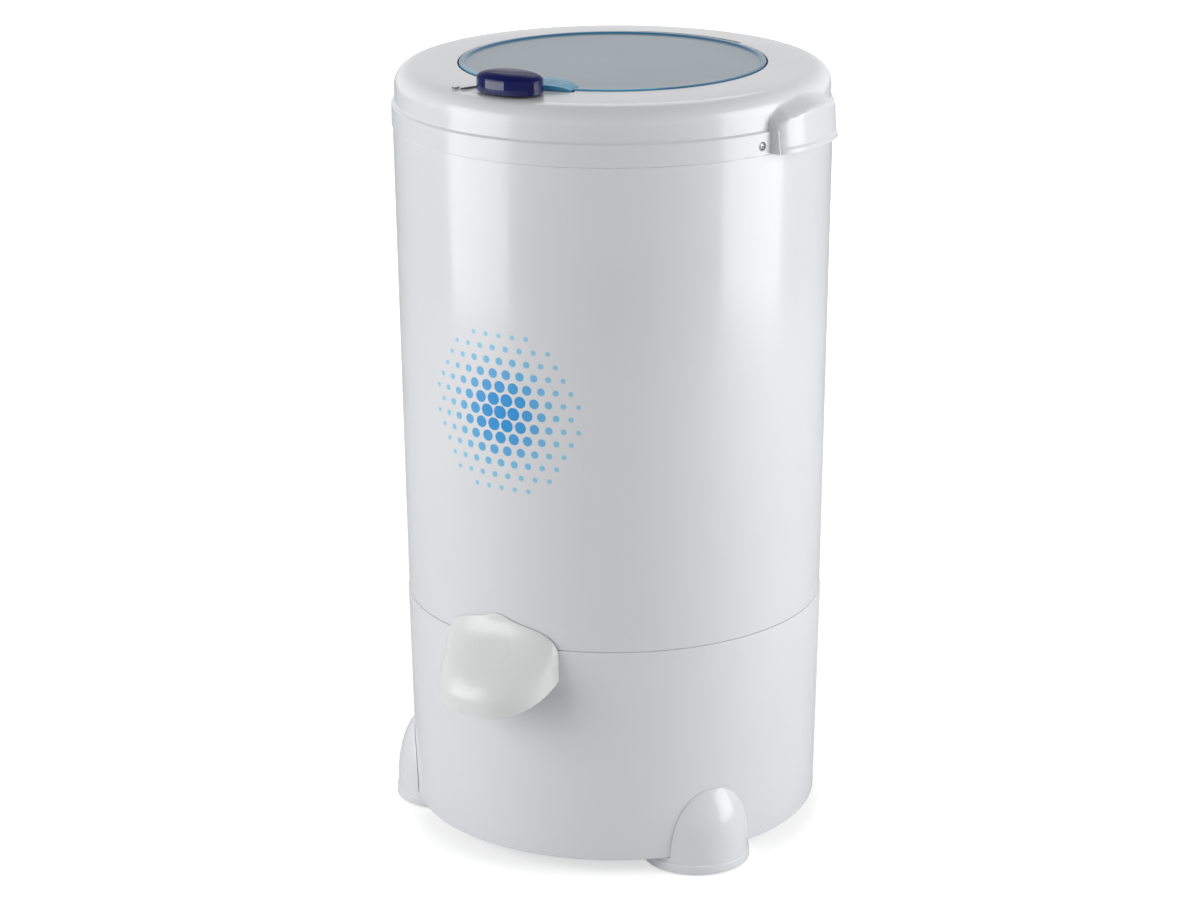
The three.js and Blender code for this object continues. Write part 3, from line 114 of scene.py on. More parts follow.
class CoverSizes(PropertyGroup):
    top: length("Top", "Height of the flat top", 611.3)
    band_top: length("Band top", "Height of the top of the band", 582)
    band_radius: length("Band radius", "Radius of the band along the lower edge", 170.8)
    side_radius: length("Side radius", "Radius of the side above the band", 168.3)
    shoulder: length("Shoulder", "Radius of the rounded shoulder", 15)
    fall: length("Fall", "How far the top falls towards the shoulder", 1.6)
    recess_radius: length("Recess radius", "Radius of the recess that takes the lid", 119.3)
    recess_depth: length("Recess depth", "Depth of that recess", 7.3)
    neck_radius: length("Neck radius", "Radius of the loading neck", 105.8)
    neck_depth: length("Neck depth", "Depth of the loading neck", 42)
    grip_half: length("Grip half width", "Half the width of a carrying grip", 42.5)
    grip_reach: length("Grip reach", "How far a grip stands out from the side", 14.5)
    grip_top: length("Grip top", "Height of the middle of a grip's upper edge", 598.5)
    grip_bead: length("Grip bead", "Extra reach of the bead along a grip's lower edge", 1.4)
    band_end: length("Band end", "Distance of the band's ends from the grip's middle", 41)
    screw_height: length("Screw height", "Height of the cover screws", 572)
    screw_angle: turn("Screw angle", "Angle of a cover screw from the middle of its grip", 17.5)
    screw_head: length("Screw head", "Radius of a screw's head", 3)


class LidSizes(PropertyGroup):
    radius: length("Radius", "Radius of the lid", 118.2)
    rise: length("Rise", "How far the lid's rim stands above the cover", 0.7)
    plate: length("Plate", "Thickness of the plate", 2.5)
    rim: length("Rim", "Width of the rim", 4.2)
    rim_height: length("Rim height", "Height of the rim", 7.1)
    skirt_radius: length("Skirt radius", "Radius of the skirt below the lid", 103.5)
    skirt_depth: length("Skirt depth", "Depth of that skirt", 11)
    tab_angle: turn("Tab angle", "Half the angle that the finger tab spans", 18)
    tab_inner: length("Tab start", "Radius at which the finger tab starts", 82)
    tab_outer: length("Tab end", "Radius of the finger tab's edge", 124)
    tab_rise: length("Tab rise", "Height of the finger tab above the rim", 3.2)
    tab_ribs: bpy.props.IntProperty(name="Tab ribs", description="Ribs on the finger tab", default=7)


class KnobSizes(PropertyGroup):
    offset: length("Offset", "Distance of the knob from the casing's axis", 141)
    long_side: length("Length", "Length of the knob", 54)
    short_side: length("Width", "Width of the knob", 34)
    height: length("Height", "Height of the knob", 16)
    side: length("Side", "Height of the knob's upright side", 10.5)
    travel: turn("Travel", "Angle through which the knob turns", 60)


class HoodSizes(PropertyGroup):
    half_width: length("Half width", "Half the width of the spout hood", 50)
    shoulder: length("Shoulder", "Height at which the hood starts to narrow", 183)
    top: length("Top", "Height of the hood's top", 209.7)
    tip_reach: length("Tip reach", "Distance of the hood's lip from the casing's axis", 206.2)
    tip_height: length("Tip height", "Height of the hood's lip", 139)
    back_height: length("Back height", "Height of the hood's lower edge at the casing", 163)


class FootSizes(PropertyGroup):
    offset: length("Offset", "Distance of a foot from the casing's axis", 137.5)
    radius: length("Radius", "Radius of a foot's flange", 42)
    flange: length("Flange", "Height of the flange", 8.5)
    clearance: length("Clearance", "Height of a foot's plastic above the floor", 1.2)
    height: length("Height", "Height of a foot's dome", 66.5)
    wall: length("Wall", "Thickness of a foot's wall", 3)
    pad_radius: length("Pad radius", "Radius of a rubber pad", 16)
    pad_height: length("Pad height", "Height of a rubber pad", 4.5)


class BasketSizes(PropertyGroup):
    radius: length("Radius", "Radius of the basket", 123)
    sheet: length("Sheet", "Thickness of the basket's sheet", 1.2)
    floor: length("Floor", "Height of the basket's lower edge", 236)
    top: length("Top", "Height of the basket's mouth", 541)
    mouth: length("Mouth", "Radius of the mouth", 107)
    shoulder: length("Shoulder", "Radius of the rolled shoulder", 12)
    hole: length("Hole", "Radius of a drain hole", 2.1)
    columns: bpy.props.IntProperty(name="Columns", description="Drain holes round the basket", default=36)
    rows: bpy.props.IntProperty(name="Rows", description="Rows of drain holes", default=13)


class LookColours(PropertyGroup):
    white: colour("White", "Gloss white of the casing", 0.84, 0.85, 0.875)
    hood: colour("Hood", "Warmer white of the spout hood", 0.83, 0.845, 0.835)
    plate: colour("Lid plate", "Smoky blue of the lid's plate", 0.34, 0.45, 0.53)
    rim: colour("Lid rim", "Sky blue of the lid's rim", 0.03, 0.22, 0.40)
    tab: colour("Finger tab", "Sky blue of the finger tab", 0.07, 0.38, 0.60)
    navy: colour("Knob", "Navy of the knob", 0.001, 0.006, 0.1)
    print_dark: colour("Print, dark", "Darker blue of the printed dots", 0.0, 0.31, 0.76)
    print_light: colour("Print, light", "Lighter blue of the printed dots", 0.30, 0.68, 0.90)


SETTINGS = {
    "dryer_casing": CasingSizes,
    "dryer_cover": CoverSizes,
    "dryer_lid": LidSizes,
    "dryer_knob": KnobSizes,
    "dryer_hood": HoodSizes,
    "dryer_foot": FootSizes,
    "dryer_basket": BasketSizes,
    "dryer_colours": LookColours,
}

PRINT_ANGLE = math.radians(1.8)
PRINT_HEIGHT = 372.5 * MM
PRINT_RADIUS = 66 * MM
PRINT_PITCH = 11.5 * MM
PRINT_ROW = 0.866 * PRINT_PITCH
PRINT_EDGE = 0.15 * MM
CASING_AT_PRINT = 167.5 * MM

VENTS = 16
GRIP_FULLNESS = 3.4
FAR_FROM_GRIP = 1.0
GRIP_CIRCLE = 170 * MM
SCREW_SEAT = 169.3 * MM
SCREW_TURN = 0.6
BAY_DEPTH = 3.3 * MM
POCKET_FLOOR = 600.8 * MM
DOME_STEPS = 26
HOOD_SQUARENESS = 2 / 2.35
HOOD_LEVELS = 46
HOOD_STEPS = 48
HOSE_TOP = 204.7 * MM
HOSE_END = 150 * MM

CAMERA_LENS = 99.474
CAMERA_PLACE = (1.3503119, -2.11436144, 1.10338166)
CAMERA_TURN = (72.24343155, 0.2553649, 32.56991087)
LAMPS = {
    "left": ((-1.19, -1.45, 0.62), (1.3, 1.5), 21.4),
    "right": ((1.73, 0.55, 0.62), (1.3, 1.5), 22.8),
    "rear": ((-0.76, 1.19, 2.1), (1.2, 1.2), 6),
}
LAMP_AIM = (0, 0, 0.32)
FLOOR_GLOW = 0.54


# ---------- Outlines ----------


def polar(radius, angle):
    """Place at a radius and an angle from the front, towards +X."""
    return radius * math.sin(angle), -radius * math.cos(angle)


def smooth(value, low, high):
    share = min(1.0, max(0.0, (value - low) / (high - low)))
    return share * share * (3 - 2 * share)


def rounded(corners, closed=True, steps=5):
    """Outline through corners of (radius, height, fillet), with an arc at each corner that has a fillet."""
    points = []
    count = len(corners)
    for i, corner in enumerate(corners):
        here = Vector(corner[:2])
        fillet = corner[2] if len(corner) > 2 else 0
        if not fillet or (not closed and i in (0, count - 1)):
            points.append(tuple(here))
            continue
        before = Vector(corners[i - 1][:2]) - here
        after = Vector(corners[(i + 1) % count][:2]) - here
        half = before.angle(after) / 2
        reach = min(fillet / math.tan(half), 0.49 * before.length, 0.49 * after.length)
        centre = here + (before.normalized() + after.normalized()).normalized() * reach / math.cos(half)
        first = here + before.normalized() * reach - centre
        last = here + after.normalized() * reach - centre
        sweep = first.angle_signed(last, 0)
        for k in range(steps + 1):
            turn_back = Matrix.Rotation(-sweep * k / steps, 2)
            points.append(tuple(centre + turn_back @ first.normalized() * first.length))
    return points


def arc_points(centre, height, radius, start, end, steps):
    angles = [math.radians(start + (end - start) * k / steps) for k in range(steps + 1)]
    return [(centre + radius * math.cos(a), height + radius * math.sin(a)) for a in angles]


def section(inner, outer, low, high):
    """Outline of a plain rectangle."""
    return [(inner, low), (outer, low), (outer, high), (inner, high)]


def oval(half_length, half_width, exponent, count):
    points = []
    for i in range(count):
        angle = 2 * math.pi * i / count
        c, s = math.cos(angle), math.sin(angle)
        x = math.copysign(abs(c) ** (2 / exponent), c) * half_length
        y = math.copysign(abs(s) ** (2 / exponent), s) * half_width
        points.append((x, y))
    return points


# ---------- Solids ----------


def tidy(bm):
    bmesh.ops.remove_doubles(bm, verts=bm.verts, dist=MERGE)
    bmesh.ops.dissolve_degenerate(bm, dist=MERGE / 2, edges=bm.edges)
    bmesh.ops.recalc_face_normals(bm, faces=bm.faces)
    return bm


def spun(outline, steps=ROUND, closed=True):
    """Full turn of an outline of (radius, height) about the vertical axis."""
    bm = bmesh.new()
    verts = [bm.verts.new((r, 0, z)) for r, z in outline]
    pairs = list(zip(verts, verts[1:])) + ([(verts[-1], verts[0])] if closed else [])
    edges = [bm.edges.new(pair) for pair in pairs if (pair[0].co.xy + pair[1].co.xy).length > MERGE]
    bmesh.ops.spin(
        bm, geom=verts + edges, axis=(0, 0, 1), cent=(0, 0, 0), dvec=(0, 0, 0), angle=2 * math.pi,
        steps=steps, use_merge=True,
    )
    loose = [v for v in bm.verts if not v.link_faces]
    bmesh.ops.delete(bm, geom=loose, context="VERTS")
    return tidy(bm)


def wedge(outline, middle, half, steps):
    """Part of a turn of a closed outline, about an angle from the front."""
    bm = bmesh.new()
    start = middle - half
    verts = [bm.verts.new((*polar(r, start), z)) for r, z in outline]
    face = bm.faces.new(verts)
    bmesh.ops.spin(
        bm, geom=[face] + face.edges[:] + verts, axis=(0, 0, 1), cent=(0, 0, 0), dvec=(0, 0, 0),
        angle=2 * half, steps=steps,
    )
    return tidy(bm)


def slab(points, low, high):
    """Upright prism on an outline of (x, y)."""
    bm = bmesh.new()
    face = bm.faces.new([bm.verts.new((x, y, low)) for x, y in points])
    grown = bmesh.ops.extrude_face_region(bm, geom=[face])["geom"]
    top = [v for v in grown if isinstance(v, bmesh.types.BMVert)]
    bmesh.ops.translate(bm, vec=(0, 0, high - low), verts=top)
    return tidy(bm)


def box_between(low, high):
    bm = bmesh.new()
    middle = (Vector(low) + Vector(high)) / 2
    size = Vector(high) - Vector(low)
    bmesh.ops.create_cube(bm, size=1, matrix=Matrix.Translation(middle) @ Matrix.Diagonal(size.to_4d()))
    return bm


def rod(radius, start, end, segments=SMALL_ROUND):
    """Round bar between two places."""
    bm = bmesh.new()
    start, end = Vector(start), Vector(end)
    axis = end - start
    place = Matrix.Translation((start + end) / 2) @ axis.to_track_quat("Z", "Y").to_matrix().to_4x4()
    bmesh.ops.create_cone(
        bm, cap_ends=True, segments=segments, radius1=radius, radius2=radius, depth=axis.length, matrix=place
    )
    return bm


def peg(radius, x, y, low, high, segments=SMALL_ROUND):
    """Upright round bar."""
    return rod(radius, (x, y, low), (x, y, high), segments)


def spoke(radius, start, end, angle, height, segments=SMALL_ROUND):
    """Level round bar that points at the casing's axis, between two distances from it."""
    return rod(radius, (*polar(start, angle), height), (*polar(end, angle), height), segments)


def skinned(rings, closed=False):
    """Skin drawn through rings of places: each ring is extruded to the next, and the ends are closed."""
    bm = bmesh.new()
    verts = [bm.verts.new(place) for place in rings[0]]
    edges = [bm.edges.new((verts[i - 1], verts[i])) for i in range(len(verts))]
    first = list(verts)
    if not closed:
        bm.faces.new(verts)
    for ring in rings[1:]:
        index = {v: i for i, v in enumerate(verts)}
        result = bmesh.ops.extrude_edge_only(bm, edges=edges)["geom"]
        grown = [g for g in result if isinstance(g, bmesh.types.BMVert)]
        order = [None] * len(verts)
        for v in grown:
            old = next(e.other_vert(v) for e in v.link_edges if e.other_vert(v) in index)
            order[index[old]] = v
        for v, place in zip(order, ring):
            v.co = place
        verts = order
        edges = [bm.edges.get((verts[i - 1], verts[i])) for i in range(len(verts))]
    if closed:
        loop = [bm.edges.get((first[i - 1], first[i])) for i in range(len(first))]
        bmesh.ops.bridge_loops(bm, edges=edges + loop)
    else:
        bm.faces.new(verts)
    return tidy(bm)


def joined(*parts):
    """One mesh of several, which then may be used as one cutter."""
    whole = bmesh.new()
    for part in parts:
        mesh = bpy.data.meshes.new("part")
        part.to_mesh(mesh)
        whole.from_mesh(mesh)
        part.free()
        bpy.data.meshes.remove(mesh)
    return whole


def temporary(bm, name):
    mesh = bpy.data.meshes.new(name)
    bm.to_mesh(mesh)
    bm.free()
    obj = bpy.data.objects.new(name, mesh)
    bpy.context.scene.collection.objects.link(obj)
    return obj


def applied(obj):
    """The object's mesh with its modifiers, and the object removed."""
    bpy.context.view_layer.update()
    mesh = bpy.data.meshes.new_from_object(obj.evaluated_get(bpy.context.evaluated_depsgraph_get()))
    bm = bmesh.new()
    bm.from_mesh(mesh)
    bpy.data.objects.remove(obj)
    bpy.data.meshes.remove(mesh)
    return bm


def faced_out(bm, axis):
    """Turns the faces of an open shell outwards, judged by the one furthest along an axis."""
    bmesh.ops.recalc_face_normals(bm, faces=bm.faces)
    furthest = max(bm.faces, key=lambda face: face.calc_center_median()[axis])
    if furthest.normal[axis] < 0:
        bmesh.ops.reverse_faces(bm, faces=bm.faces)
    return bm


def walled(bm, thickness):
    """Gives an open shell its wall, inwards."""
    obj = temporary(bm, "shell")
    modifier = obj.modifiers.new("Wall", "SOLIDIFY")
    modifier.thickness = thickness
    modifier.offset = -1
    modifier.use_even_offset = True
    return applied(obj)


def combined(base, tool, operation, overlapping=False):
    """Boolean of two meshes. overlapping says that the tool's own parts run into each other."""
    body = temporary(base, "base")
    other = temporary(tool, "tool")
    modifier = body.modifiers.new("Boolean", "BOOLEAN")
    modifier.operation = operation
    modifier.solver = "EXACT"
    modifier.use_self = overlapping
    modifier.object = other
    result = applied(body)
    bpy.data.objects.remove(other)
    if not result.faces:
        raise RuntimeError("a Boolean left nothing")
    return result


def cut(base, *tools, overlapping=False):
    return combined(base, joined(*tools), "DIFFERENCE", overlapping)


def added(base, *tools, overlapping=False):
    return combined(base, joined(*tools), "UNION", overlapping)


def turned(bm, angle):
    bmesh.ops.rotate(bm, cent=(0, 0, 0), matrix=Matrix.Rotation(angle, 3, "Z"), verts=bm.verts)
    return bm


def moved(bm, x, y, z):
    bmesh.ops.translate(bm, vec=(x, y, z), verts=bm.verts)
    return bm


def facing_out(bm, angle, radius, height):
    """Turns a mesh that is drawn up the axis to point outwards, and moves it to its place on the casing."""
    ahead = Vector((*polar(1, angle), 0)).to_track_quat("Z", "Y").to_matrix()
    bmesh.ops.rotate(bm, cent=(0, 0, 0), matrix=ahead, verts=bm.verts)
    return moved(bm, *polar(radius, angle), height)


def axis_place():
    """Where the frame has the casing's axis."""
    low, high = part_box("body_shell")
    return (low + high) / 2 * Vector((1, 1, 0))


def nearest_node(prefix, bm):
    """The CAD node of that family whose box lies nearest a mesh drawn about the casing's axis."""
    middle = sum((v.co for v in bm.verts), Vector()) / len(bm.verts) + axis_place()

    def distance(name):
        low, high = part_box(name)
        return ((low + high) / 2 - middle).length

    return min((n for n in NODES if n.startswith(prefix)), key=distance)


def piece(bm, name, node=None, body="housing", slot=None, finish=None, sharp=SHARP):
    """The finish is that of the node's slot in the record, unless a slot or a finish is given.
    """
    slot = slot or SLOTS[node]
    place = axis_place()
    moved(bm, place.x, place.y, 0)
    bmesh.ops.remove_doubles(bm, verts=bm.verts, dist=MERGE)
    bmesh.ops.recalc_face_normals(bm, faces=bm.faces)
    if not bm.faces:
        raise RuntimeError(f"{name} has no faces")
    mesh = bpy.data.meshes.new(name)
    bm.to_mesh(mesh)
    bm.free()
    mesh.shade_smooth()
    mesh.set_sharp_from_angle(angle=sharp)
    obj = bpy.data.objects.new(name, mesh)
    bpy.context.scene.collection.objects.link(obj)
    mesh.materials.append(MATERIALS[finish or slot])
    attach(obj, body)
    if node:
        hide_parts(node)


# ---------- Material nodes ----------


class Socket:
    """An output of a node tree that can be used in sums."""

    def __init__(self, tree, socket):
        self.tree = tree
        self.socket = socket

    def is_vector(self):
        return self.socket.type in {"VECTOR", "RGBA"}

    def math(self, operation, *others, swap=False):
        operands = [self, *others]
        if swap:
            operands.reverse()
        wide = any(isinstance(o, Socket) and o.is_vector() for o in operands)
        kind = "ShaderNodeVectorMath" if wide else "ShaderNodeMath"
        node = self.tree.nodes.new(kind)
        node.operation = operation
        for i, operand in enumerate(operands):
            feed(self.tree, node.inputs[i], operand)
        return Socket(self.tree, node.outputs["Vector" if wide else "Value"])

    def __add__(self, other):
        return self.math("ADD", other)

    __radd__ = __add__

    def __sub__(self, other):
        return self.math("SUBTRACT", other)

    def __rsub__(self, other):
        return self.math("SUBTRACT", other, swap=True)

    def __mul__(self, other):
        return self.math("MULTIPLY", other)

    __rmul__ = __mul__

    def __truediv__(self, other):
        return self.math("DIVIDE", other)

    def __rtruediv__(self, other):
        return self.math("DIVIDE", other, swap=True)

    def __neg__(self):
        return self.math("MULTIPLY", -1.0)

    def part(self, letter):
        node = self.tree.nodes.new("ShaderNodeSeparateXYZ")
        feed(self.tree, node.inputs[0], self)
        return Socket(self.tree, node.outputs[letter])

    def length(self):
        node = self.tree.nodes.new("ShaderNodeVectorMath")
        node.operation = "LENGTH"
        feed(self.tree, node.inputs[0], self)
        return Socket(self.tree, node.outputs["Value"])

    def ramp(self, low, high, to_low=0.0, to_high=1.0):
        """This value, mapped smoothly from one range to another and held beyond it."""
        return node_of(
            self.tree, "ShaderNodeMapRange", {"interpolation_type": "SMOOTHSTEP", "clamp": True},
            {"Value": self, "From Min": low, "From Max": high, "To Min": to_low, "To Max": to_high}, "Result",
        )


def feed(tree, target, value):
    if isinstance(value, Socket):
        tree.links.new(value.socket, target)
    elif hasattr(target.default_value, "__len__") and not hasattr(value, "__len__"):
        target.default_value = [value] * len(target.default_value)
    elif hasattr(value, "__len__") and len(target.default_value) == 4 and len(value) == 3:
        target.default_value = (*value, 1.0)
    else:
        target.default_value = value


def node_of(tree, kind, settings=None, inputs=None, output=0):
    """Any node: its type, its settings, its inputs and the output that is wanted."""
    node = tree.nodes.new(kind)
    for key, value in (settings or {}).items():
        setattr(node, key, value)
    for key, value in (inputs or {}).items():
        feed(tree, node.inputs[key], value)
    return Socket(tree, node.outputs[output])


def mixed(tree, factor, first, second):
    """Blend of two colours."""
    node = tree.nodes.new("ShaderNodeMix")
    node.data_type = "RGBA"
    colours = {"Factor_Float": factor, "A_Color": first, "B_Color": second}
    for key, value in colours.items():
        socket = next(s for s in node.inputs if s.identifier == key)
        feed(tree, socket, value)
    return Socket(tree, next(s for s in node.outputs if s.identifier == "Result_Color"))


class Finish:
    """A material under construction: its tree, its shader and its object coordinates."""

    def __init__(self, name):
        self.name = name
        self.material = bpy.data.materials.new(name)
        self.material.use_nodes = True
        self.tree = self.material.node_tree
        self.shader = self.tree.nodes["Principled BSDF"]
        self.place = node_of(self.tree, "ShaderNodeTexCoord", output="Object")

    def set(self, **values):
        for key, value in values.items():
            feed(self.tree, self.shader.inputs[key.replace("_", " ")], value)

    def noise(self, scale, detail=2.0, stretch=(1, 1, 1)):
        where = self.place * stretch if stretch != (1, 1, 1) else self.place
        inputs = {"Vector": where, "Scale": scale, "Detail": detail}
        return node_of(self.tree, "ShaderNodeTexNoise", None, inputs, "Fac")

    def bump(self, height, strength, distance):
        inputs = {"Height": height, "Strength": strength, "Distance": distance}
        self.set(Normal=node_of(self.tree, "ShaderNodeBump", None, inputs, "Normal"))


def moulded(name, base, roughness=0.22, grain=0.04, coat=0.25):
    """Moulded plastic: a faint uneven tone, an uneven gloss and a little waviness."""
    finish = Finish(name)
    tone = finish.noise(3.2, 3).ramp(0.3, 0.7)
    darker = [c * (1 - grain) for c in base]
    finish.set(Base_Color=mixed(finish.tree, tone, darker, base))
    finish.set(Roughness=finish.noise(24, 3).ramp(0.3, 0.7, roughness * 0.85, roughness * 1.2))
    finish.set(Coat_Weight=finish.noise(9, 2).ramp(0.3, 0.7, coat * 0.8, coat), Coat_Roughness=0.08)
    finish.bump(finish.noise(14, 1), 0.03, 0.0006)
    return finish


def metal(name, base, roughness, stretch=(1, 1, 1), scale=160, bump=0.15):
    """Bare metal with a worked surface."""
    finish = Finish(name)
    lines = finish.noise(scale, 4, stretch)
    darker = [c * 0.78 for c in base]
    finish.set(Base_Color=mixed(finish.tree, lines.ramp(0.3, 0.75), darker, base))
    finish.set(Metallic=1.0, Roughness=lines.ramp(0.2, 0.8, roughness * 0.75, roughness * 1.3))
    finish.bump(lines, bump, 0.0002)
    return finish


def rubber(name, base, roughness=0.7):
    finish = Finish(name)
    dust = finish.noise(60, 4).ramp(0.35, 0.75)
    finish.set(Base_Color=mixed(finish.tree, dust, base, [min(1, c * 1.5 + 0.01) for c in base]))
    finish.set(Roughness=dust.ramp(0, 1, roughness, min(1, roughness * 1.2)))
    finish.bump(finish.noise(420, 2), 0.2, 0.0003)
    return finish


def printed_white(name, colours):
    """The casing's white with a round field of printed dots, smaller and paler towards its edge."""
    finish = moulded(name, colours.white)
    tree = finish.tree
    target = finish.shader.inputs["Base Color"]
    plain = Socket(tree, target.links[0].from_socket)
    tree.links.remove(target.links[0])
    centre = axis_place()
    about = finish.place - (centre.x, centre.y, PRINT_HEIGHT)
    across = (about.part("X").math("ARCTAN2", -about.part("Y")) - PRINT_ANGLE) * CASING_AT_PRINT
    up = about.part("Z")
    row = (up / PRINT_ROW).math("ROUND")
    shift = row.math("MODULO", 2.0).math("ABSOLUTE") * 0.5
    dot_x = ((across / PRINT_PITCH - shift).math("ROUND") + shift) * PRINT_PITCH
    dot_y = row * PRINT_ROW

    def distance(x, y):
        return (x.math("POWER", 2.0) + y.math("POWER", 2.0)).math("SQRT")

    share = distance(dot_x, dot_y) / PRINT_RADIUS
    radius = share.ramp(0.0, 1.0, PRINT_PITCH * 0.47, PRINT_PITCH * 0.16)
    inside = share.math("LESS_THAN", 1.0)
    front = (-about.part("Y")).math("GREATER_THAN", 0.0)
    mask = (radius - distance(across - dot_x, up - dot_y)).ramp(-PRINT_EDGE, PRINT_EDGE) * inside * front
    ink = mixed(tree, share.ramp(0.15, 0.95), colours.print_dark, colours.print_light)
    finish.set(Base_Color=mixed(tree, mask, plain, ink))
    return finish


def lid_plastic(name, colours, sizes, cover_top):
    """Smoky see-through plate whose rim and finger tab are a stronger blue."""
    finish = Finish(name)
    tree = finish.tree
    centre = axis_place()
    about = finish.place - (centre.x, centre.y, 0)
    out = (about * (1, 1, 0)).length()
    rim = out.ramp(sizes.radius - 6.2 * MM, sizes.radius - 5.2 * MM)
    raised = about.part("Z").ramp(cover_top - 0.6 * MM, cover_top + 0.6 * MM)
    ahead = (-about.part("Y")).ramp(70 * MM, 84 * MM)
    tab = raised * ahead
    haze = finish.noise(6, 3).ramp(0.3, 0.7)
    plate = mixed(tree, haze, [c * 0.92 for c in colours.plate], [min(1, c * 1.08) for c in colours.plate])
    rings = {"Vector": out * 900.0, "Scale": 1.0, "Detail": 3.0}
    streaks = node_of(tree, "ShaderNodeTexNoise", None, rings, "Fac").ramp(0.35, 0.65)
    blue = mixed(tree, streaks, colours.tab, [min(1, c * 1.35) for c in colours.tab])
    base = mixed(tree, rim, plate, colours.rim)
    finish.set(Base_Color=mixed(tree, tab, base, blue))
    solidity = (rim * 0.12 + tab * 0.10 + 0.80).math("MINIMUM", 0.95)
    finish.set(Alpha=solidity, Specular_IOR_Level=0.3)
    finish.set(Roughness=haze.ramp(0, 1, 0.08, 0.14))
    return finish


def knob_gloss(name, colours, base, side):
    """Navy gloss, polished on the upright side and duller on the dome."""
    finish = Finish(name)
    depth = finish.noise(18, 2).ramp(0.3, 0.7)
    finish.set(Base_Color=mixed(finish.tree, depth, [c * 0.85 for c in colours.navy], colours.navy))
    finish.set(Roughness=finish.noise(30, 2).ramp(0.3, 0.7, 0.05, 0.09), Specular_IOR_Level=0.05)
    edge = base + side
    polish = finish.place.part("Z").ramp(edge - 1.5 * MM, edge + 1 * MM, 1.0, 0.05)
    finish.set(Coat_Weight=polish, Coat_IOR=1.5, Coat_Roughness=0.03)
    return finish


def laminated(name):
    finish = Finish(name)
    layers = (finish.place.part("Z") * 2500.0).math("SINE").ramp(-1, 1)
    finish.set(Base_Color=mixed(finish.tree, layers, (0.09, 0.095, 0.10), (0.20, 0.205, 0.21)))
    finish.set(Metallic=1.0, Roughness=layers.ramp(0, 1, 0.42, 0.6))
    finish.bump(layers, 0.3, 0.0002)
    return finish


def make_materials(scene):
    colours, lid, cover = scene.dryer_colours, scene.dryer_lid, scene.dryer_cover
    finishes = [
        moulded("white_plastic", colours.white),
        printed_white("printed_plastic", colours),
        moulded("hood_plastic", colours.hood, 0.3, 0.03, 0.15),
        lid_plastic("lid_plastic", colours, lid, cover.top),
        knob_gloss("knob_plastic", colours, cover.top, scene.dryer_knob.side),
        moulded("black_plastic", (0.014, 0.014, 0.016), 0.45, 0.2, 0.05),
        moulded("tub_plastic", (0.66, 0.67, 0.65), 0.5, 0.06, 0.05),
        rubber("black_rubber", (0.012, 0.012, 0.013)),
        rubber("grey_rubber", (0.15, 0.16, 0.17), 0.6),
        metal("stainless_steel", (0.56, 0.57, 0.58), 0.26, (1, 1, 30), 12, 0.08),
        metal("zinc_steel", (0.56, 0.57, 0.58), 0.34, scale=55),
        metal("cast_aluminium", (0.44, 0.45, 0.46), 0.5, scale=300, bump=0.4),
        laminated("laminations"),
        metal("copper", (0.52, 0.22, 0.10), 0.35, (1, 1, 12), 40, 0.4),
        rubber("friction_lining", (0.045, 0.03, 0.02), 0.85),
    ]
    MATERIALS.update({finish.name: finish.material for finish in finishes})


# ---------- Operators ----------


class DRYER_OT_camera(Operator):
    """Place the camera at the photograph's viewing angle"""

    bl_idname = "dryer.camera"
    bl_label = "Camera"

    def execute(self, context):
        data = bpy.data.cameras.new("camera")
        data.sensor_width = 36
        data.lens = CAMERA_LENS
        camera = bpy.data.objects.new("camera", data)
        camera.location = CAMERA_PLACE
        camera.rotation_euler = Euler([math.radians(a) for a in CAMERA_TURN])
        context.scene.collection.objects.link(camera)
        context.scene.camera = camera
        return {"FINISHED"}


class DRYER_OT_materials(Operator):
    """Make the procedural materials"""

    bl_idname = "dryer.materials"
    bl_label = "Materials"

    def execute(self, context):
        make_materials(context.scene)
        return {"FINISHED"}


def tapered(z, low, high, first, last):
    """Radius at a height, on a cone between two heights."""
    share = (z - low) / (high - low)
    return first + (last - first) * share


def lower_radius(s, z):
    return tapered(z, s.bottom, s.seam, s.lower_radius, s.lower_seam_radius)


def upper_radius(s, z):
    return tapered(z, s.seam, s.top, s.upper_seam_radius, s.upper_radius)


def lower_outline(s):
    """Outline of the lower shell, from its wall to its floor, with the lip that enters the upper shell."""
    lip = s.upper_seam_radius - s.wall - s.fit
    lip_inner = lip - 2.2 * MM
    lip_top = s.seam + 8 * MM
    thinned = s.seam - 9 * MM
    floor = s.bottom + 3 * MM
    middle = 26 * MM
    return rounded([
        (s.lower_radius - 2.6 * MM, s.bottom),
        (s.lower_radius, s.bottom, 2.4 * MM),
        (s.lower_seam_radius, s.seam, 0.5 * MM),
        (lip, s.seam, 0.2 * MM),
        (lip, lip_top, 0.5 * MM),
        (lip_inner, lip_top, 0.5 * MM),
        (lip_inner, s.seam - 4 * MM),
        (lower_radius(s, thinned) - s.wall, thinned),
        (lower_radius(s, floor) - s.wall, floor, 2 * MM),
        (middle, floor, 0.6 * MM),
        (middle, s.bottom, 0.6 * MM),
    ])


def upper_outline(s):
    """Outline of the upper shell, with the ledge that carries the tub."""
    bottom = s.seam + s.fit
    ledge = s.top - 16 * MM
    under = ledge - 15 * MM
    ledge_inner = 158.5 * MM
    return rounded([
        (upper_radius(s, bottom), bottom, 0.5 * MM),
        (s.upper_radius, s.top, 0.5 * MM),
        (s.upper_radius - s.wall, s.top, 0.5 * MM),
        (upper_radius(s, ledge) - s.wall, ledge),
        (ledge_inner, ledge, 0.5 * MM),
        (ledge_inner, ledge - 3 * MM, 0.5 * MM),
        (upper_radius(s, under) - s.wall, under),
        (upper_radius(s, bottom) - s.wall, bottom),
    ])


